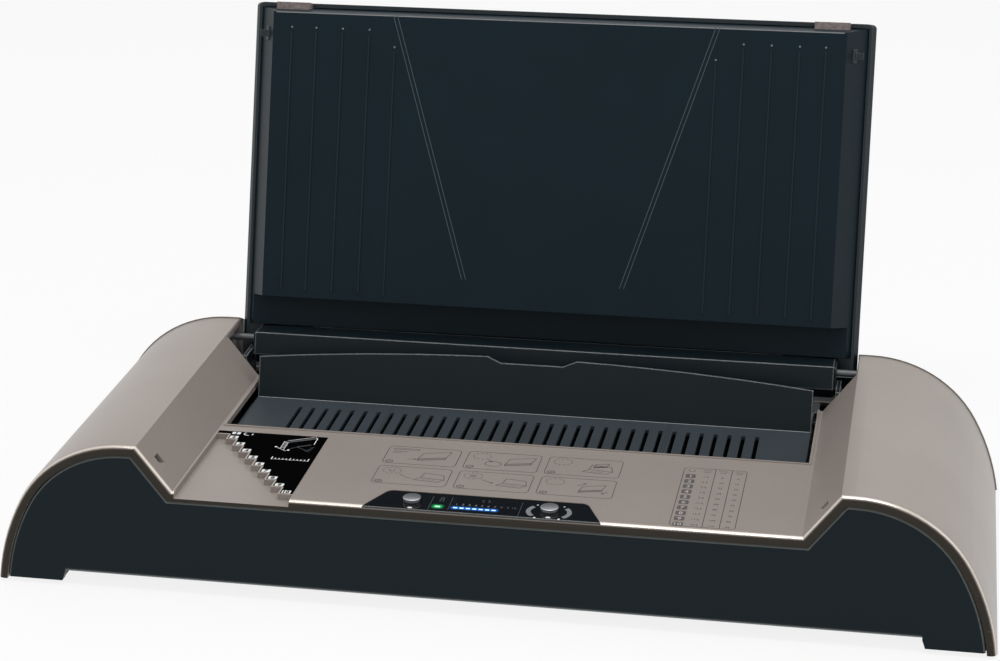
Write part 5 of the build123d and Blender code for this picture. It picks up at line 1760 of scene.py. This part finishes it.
@dataclass
class Lid(SubAssembly):
    """The lid with its inner panel, bumpers and hinge beam. Lengths run from the hinge.

    Args:
        face_z: Height of the inner panel's face, with the lid shut.
        rib_x: The ribs' places to each side, the short one first.
        rib_top: The far end of the ribs.
        short_rib_top: The far end of the short one.
        rib_root: The near end of the ribs.
        rib_height: Their height.
        rib_half: Half their width.
        pin_gap: From a rib's end to its pin mark.
        pin_radius: A pin mark's radius.
        stripe: The slanting line's two ends, each its place to the side and its length.
        stripe_gap: From one line of a pair to the other.
        stripe_line: The lines' width.
        top_line: The bright line along the panel's far edge.
        top_line_half: Half its length.
        line_lift: How far the lines lie before the face.
    """

    face_z: float = 63.9
    rib_x: tuple[float, ...] = (94.2, 109.7, 125.7, 141.7, 156.5)
    rib_top: float = 182.8
    short_rib_top: float = 173.3
    rib_root: float = 30.0
    rib_height: float = 0.6
    rib_half: float = 0.5
    pin_gap: float = 2.6
    pin_radius: float = 0.6
    stripe: tuple[Point2, Point2] = ((93.3, 194.3), (45.4, 42.0))
    stripe_gap: float = 2.4
    stripe_line: float = 0.45
    top_line: float = 194.0
    top_line_half: float = 166.5
    line_lift: float = 0.05

    def build(self) -> None:
        """Dresses the lid and adds its ridges."""
        dress = self.shop.dress
        dress(Finish.LID, "lid_outer_cover", "left_latch_peg", "right_latch_peg")
        dress(Finish.LID_INNER, "lid_inner_panel")
        dress(Finish.WALL, "hinge_beam")
        dress(Finish.PADS, "left_bumper", "right_bumper")
        dress(Finish.PIN, "left_hinge_pin", "right_hinge_pin")
        self._ribs()
        self._stripes()

    def _y(self, reach: float) -> float:
        """The place, back from the front edge, of a point that far from the hinge."""
        return LID_HINGE[0] - reach

    def _ribs(self) -> None:
        """Fine ribs down the inner panel, with a small pin mark over each."""
        ribs, pins = Sketch(Facing.DOWN), Sketch(Facing.DOWN)
        sunk = self.face_z + 0.2
        for side in (-1, 1):
            for place in self.rib_x:
                reach = self.short_rib_top if place == self.rib_x[0] else self.rib_top
                x, top, root = side * place, self._y(reach), self._y(self.rib_root)
                left, right = x - self.rib_half, x + self.rib_half
                ribs.prism([(left, top), (right, top), (right, root), (left, root)],
                           self.face_z - self.rib_height, sunk)
                mark = arc((x, self._y(reach + self.pin_gap)), (self.pin_radius,) * 2, 0, 330, 11)
                pins.prism(mark, self.face_z - 0.25, sunk)
        # The ribs' lighter colour is painted light on their lit sides.
        self.shop.add("lid_ribs", ribs, self.shop.place.lid, Finish.RIB, "lid_plastic", Body.LID)
        self.shop.add("lid_pin_marks", pins, self.shop.place.lid, Finish.PIN_MARK, "lid_plastic",
                      Body.LID)

    def _stripes(self) -> None:
        """A pair of fine slanting lines on each side, and a bright line along the far edge."""
        stripes, top = Sketch(Facing.DOWN), Sketch(Facing.DOWN)
        z = self.face_z - self.line_lift
        for gap in (0.0, self.stripe_gap):
            for side in (-1, 1):
                way = [(side * (x + gap), self._y(reach)) for x, reach in self.stripe]
                stripes.stroke(way, self.stripe_line, z)
        y = self._y(self.top_line)
        top.stroke([(-self.top_line_half, y), (self.top_line_half, y)], 0.6, z)
        self.shop.add("lid_stripes", stripes, self.shop.place.lid, Finish.BLUE_INK, "lid_plastic",
                      Body.LID)
        self.shop.add("lid_top_line", top, self.shop.place.lid, Finish.SILVER_INK, "lid_plastic",
                      Body.LID)


@dataclass
class Studio:
    """The floor, the lights, the white surround and the photograph's camera. In metres.

    Args:
        camera_at: The camera's place.
        yaw: How far it looks to the left, in degrees.
        pitch: How far it looks down, in degrees.
        roll: How far it leans, in degrees.
        lens_mm: Its focal length.
        sensor_mm: Its sensor's width.
        floor_half: Half the floor's side.
        floor_white: How much of the floor is shown as plain white.
        under_middle: The middle of the shaded floor under the machine, across and back.
        under_half: Half its sizes.
        under_fade: How soft its edge is.
        surround: The level at which the surround lights the machine; it shows at 1.
        lamps: Each soft box's name, place, aim, sides and watts.
    """

    camera_at: Point3 = (0.223999, -1.278334, 0.624903)
    yaw: float = 10.56091
    pitch: float = 21.69827
    roll: float = -0.52513
    lens_mm: float = 89.42228
    sensor_mm: float = 36.0
    floor_half: float = 6.0
    floor_white: float = 0.85
    under_middle: Point2 = (0.0, -0.0205)
    under_half: Point2 = (0.255, 0.095)
    under_fade: float = 0.01
    surround: float = 0.5
    lamps: list[tuple[str, Point3, Point3, Point2, float]] = field(default_factory=lambda: [
        ("overhead_box", (0.10, 0.15, 1.5), (0.0, 0.0, 0.05), (1.4, 0.9), 4.5),
        ("front_top_box", (0.05, -0.45, 1.45), (0.0, 0.0, 0.06), (1.4, 0.16), 7.5),
        ("left_box", (-1.5, -0.7, 0.9), (0.0, 0.0, 0.08), (1.0, 1.2), 0.8),
        ("right_box", (1.7, -0.3, 0.9), (0.05, 0.0, 0.05), (0.8, 1.1), 1.6),
    ])

    def build(self) -> None:
        """Sets up all that isn't part of the machine."""
        self._camera()
        self._floor()
        self._surround()
        for lamp in self.lamps:
            self._lamp(*lamp)
        bpy.context.scene.view_settings.view_transform = "Standard"

    def _camera(self) -> None:
        """The camera, from its solved place and angles."""
        yaw, pitch, roll = (math.radians(a) for a in (self.yaw, self.pitch, self.roll))
        level = math.cos(pitch)
        ahead = Vector((-math.sin(yaw) * level, math.cos(yaw) * level, -math.sin(pitch)))
        right = Vector((math.cos(yaw), math.sin(yaw), 0.0))
        up = right.cross(ahead)
        across = right * math.cos(roll) + up * math.sin(roll)
        upright = up * math.cos(roll) - right * math.sin(roll)
        turn = Matrix((across, upright, -ahead)).transposed().to_4x4()
        data = bpy.data.cameras.new("camera")
        data.lens = self.lens_mm
        data.sensor_width = self.sensor_mm
        camera = bpy.data.objects.new("camera", data)
        camera.matrix_world = Matrix.Translation(self.camera_at) @ turn
        bpy.context.scene.collection.objects.link(camera)
        bpy.context.scene.camera = camera

    def _floor(self) -> None:
        """A pale floor that the camera sees as white, with the machine's soft shadow."""
        half = self.floor_half
        mesh = bpy.data.meshes.new("floor")
        corners = [(-half, -half, 0.0), (half, -half, 0.0), (half, half, 0.0), (-half, half, 0.0)]
        mesh.from_pydata(corners, [], [(0, 1, 2, 3)])
        floor = bpy.data.objects.new("floor", mesh)
        bpy.context.scene.collection.objects.link(floor)
        graph = Graph(bpy.data.materials.new("floor_paper"))
        paper = graph.noise(3.0, 2.0)
        colour = graph.blend(paper, (0.90, 0.90, 0.90), (0.93, 0.93, 0.93))
        lit = graph.node("ShaderNodeBsdfDiffuse", None, {"Color": colour})
        glow = graph.node("ShaderNodeEmission", None, {"Color": (1.0, 1.0, 1.0, 1.0), "Strength": 1.0})
        sides = [(graph.along(axis) - self.under_middle[axis]).size() for axis in (0, 1)]
        under = [side.ramp(half, half - self.under_fade) for side, half in zip(sides, self.under_half)]
        seen = self._plain_rays(graph) * (1.0 - under[0] * under[1])
        mixed = {0: seen * self.floor_white, 1: lit, 2: glow}
        graph.end(graph.node("ShaderNodeMixShader", None, mixed))
        mesh.materials.append(graph.owner)

    def _plain_rays(self, graph: Graph) -> Signal:
        """Tells which rays show the surround itself, straight, in gloss or through glass.

        Args:
            graph: The graph that asks.

        Returns:
            1 for such a ray, and 0 for the others.
        """
        kinds = [graph.node("ShaderNodeLightPath", None, None, kind)
                 for kind in ("Is Camera Ray", "Is Glossy Ray", "Is Transmission Ray")]
        return kinds[0].most(kinds[1]).most(kinds[2])

    def _surround(self) -> None:
        """A white surround that lights the machine at a lower level than it shows."""
        world = bpy.data.worlds.new("surround")
        graph = Graph(world)
        level = self._plain_rays(graph) * (1.0 - self.surround) + self.surround
        sockets = {"Color": (1.0, 1.0, 1.0, 1.0), "Strength": level}
        graph.end(graph.node("ShaderNodeBackground", None, sockets), "ShaderNodeOutputWorld")
        bpy.context.scene.world = world

    def _lamp(self, name: str, at: Point3, aim: Point3, size: Point2, watts: float) -> None:
        """One soft box.

        Args:
            name: Its name.
            at: Its place.
            aim: The point that it faces.
            size: Its two sides, in metres.
            watts: Its power.
        """
        data = bpy.data.lights.new(name, "AREA")
        data.shape = "RECTANGLE"
        data.size, data.size_y = size
        data.energy = watts
        lamp = bpy.data.objects.new(name, data)
        lamp.location = at
        lamp.visible_camera = False
        lamp.rotation_euler = (Vector(aim) - Vector(at)).to_track_quat("-Z", "Y").to_euler()
        bpy.context.scene.collection.objects.link(lamp)


def main() -> None:
    """Builds every sub-assembly's looks, in order."""
    logging.basicConfig(level=logging.INFO, format="%(message)s", force=True)
    shop = Workshop(MachineFrame(frame["joints"], LID_HINGE))
    Studio().build()
    for kind in (Casing, Inside, Gauge, ControlPanel, Carriage, Lid):
        log.info("building %s", kind.__name__)
        kind(shop).build()


if __name__ == "__main__":
    main()
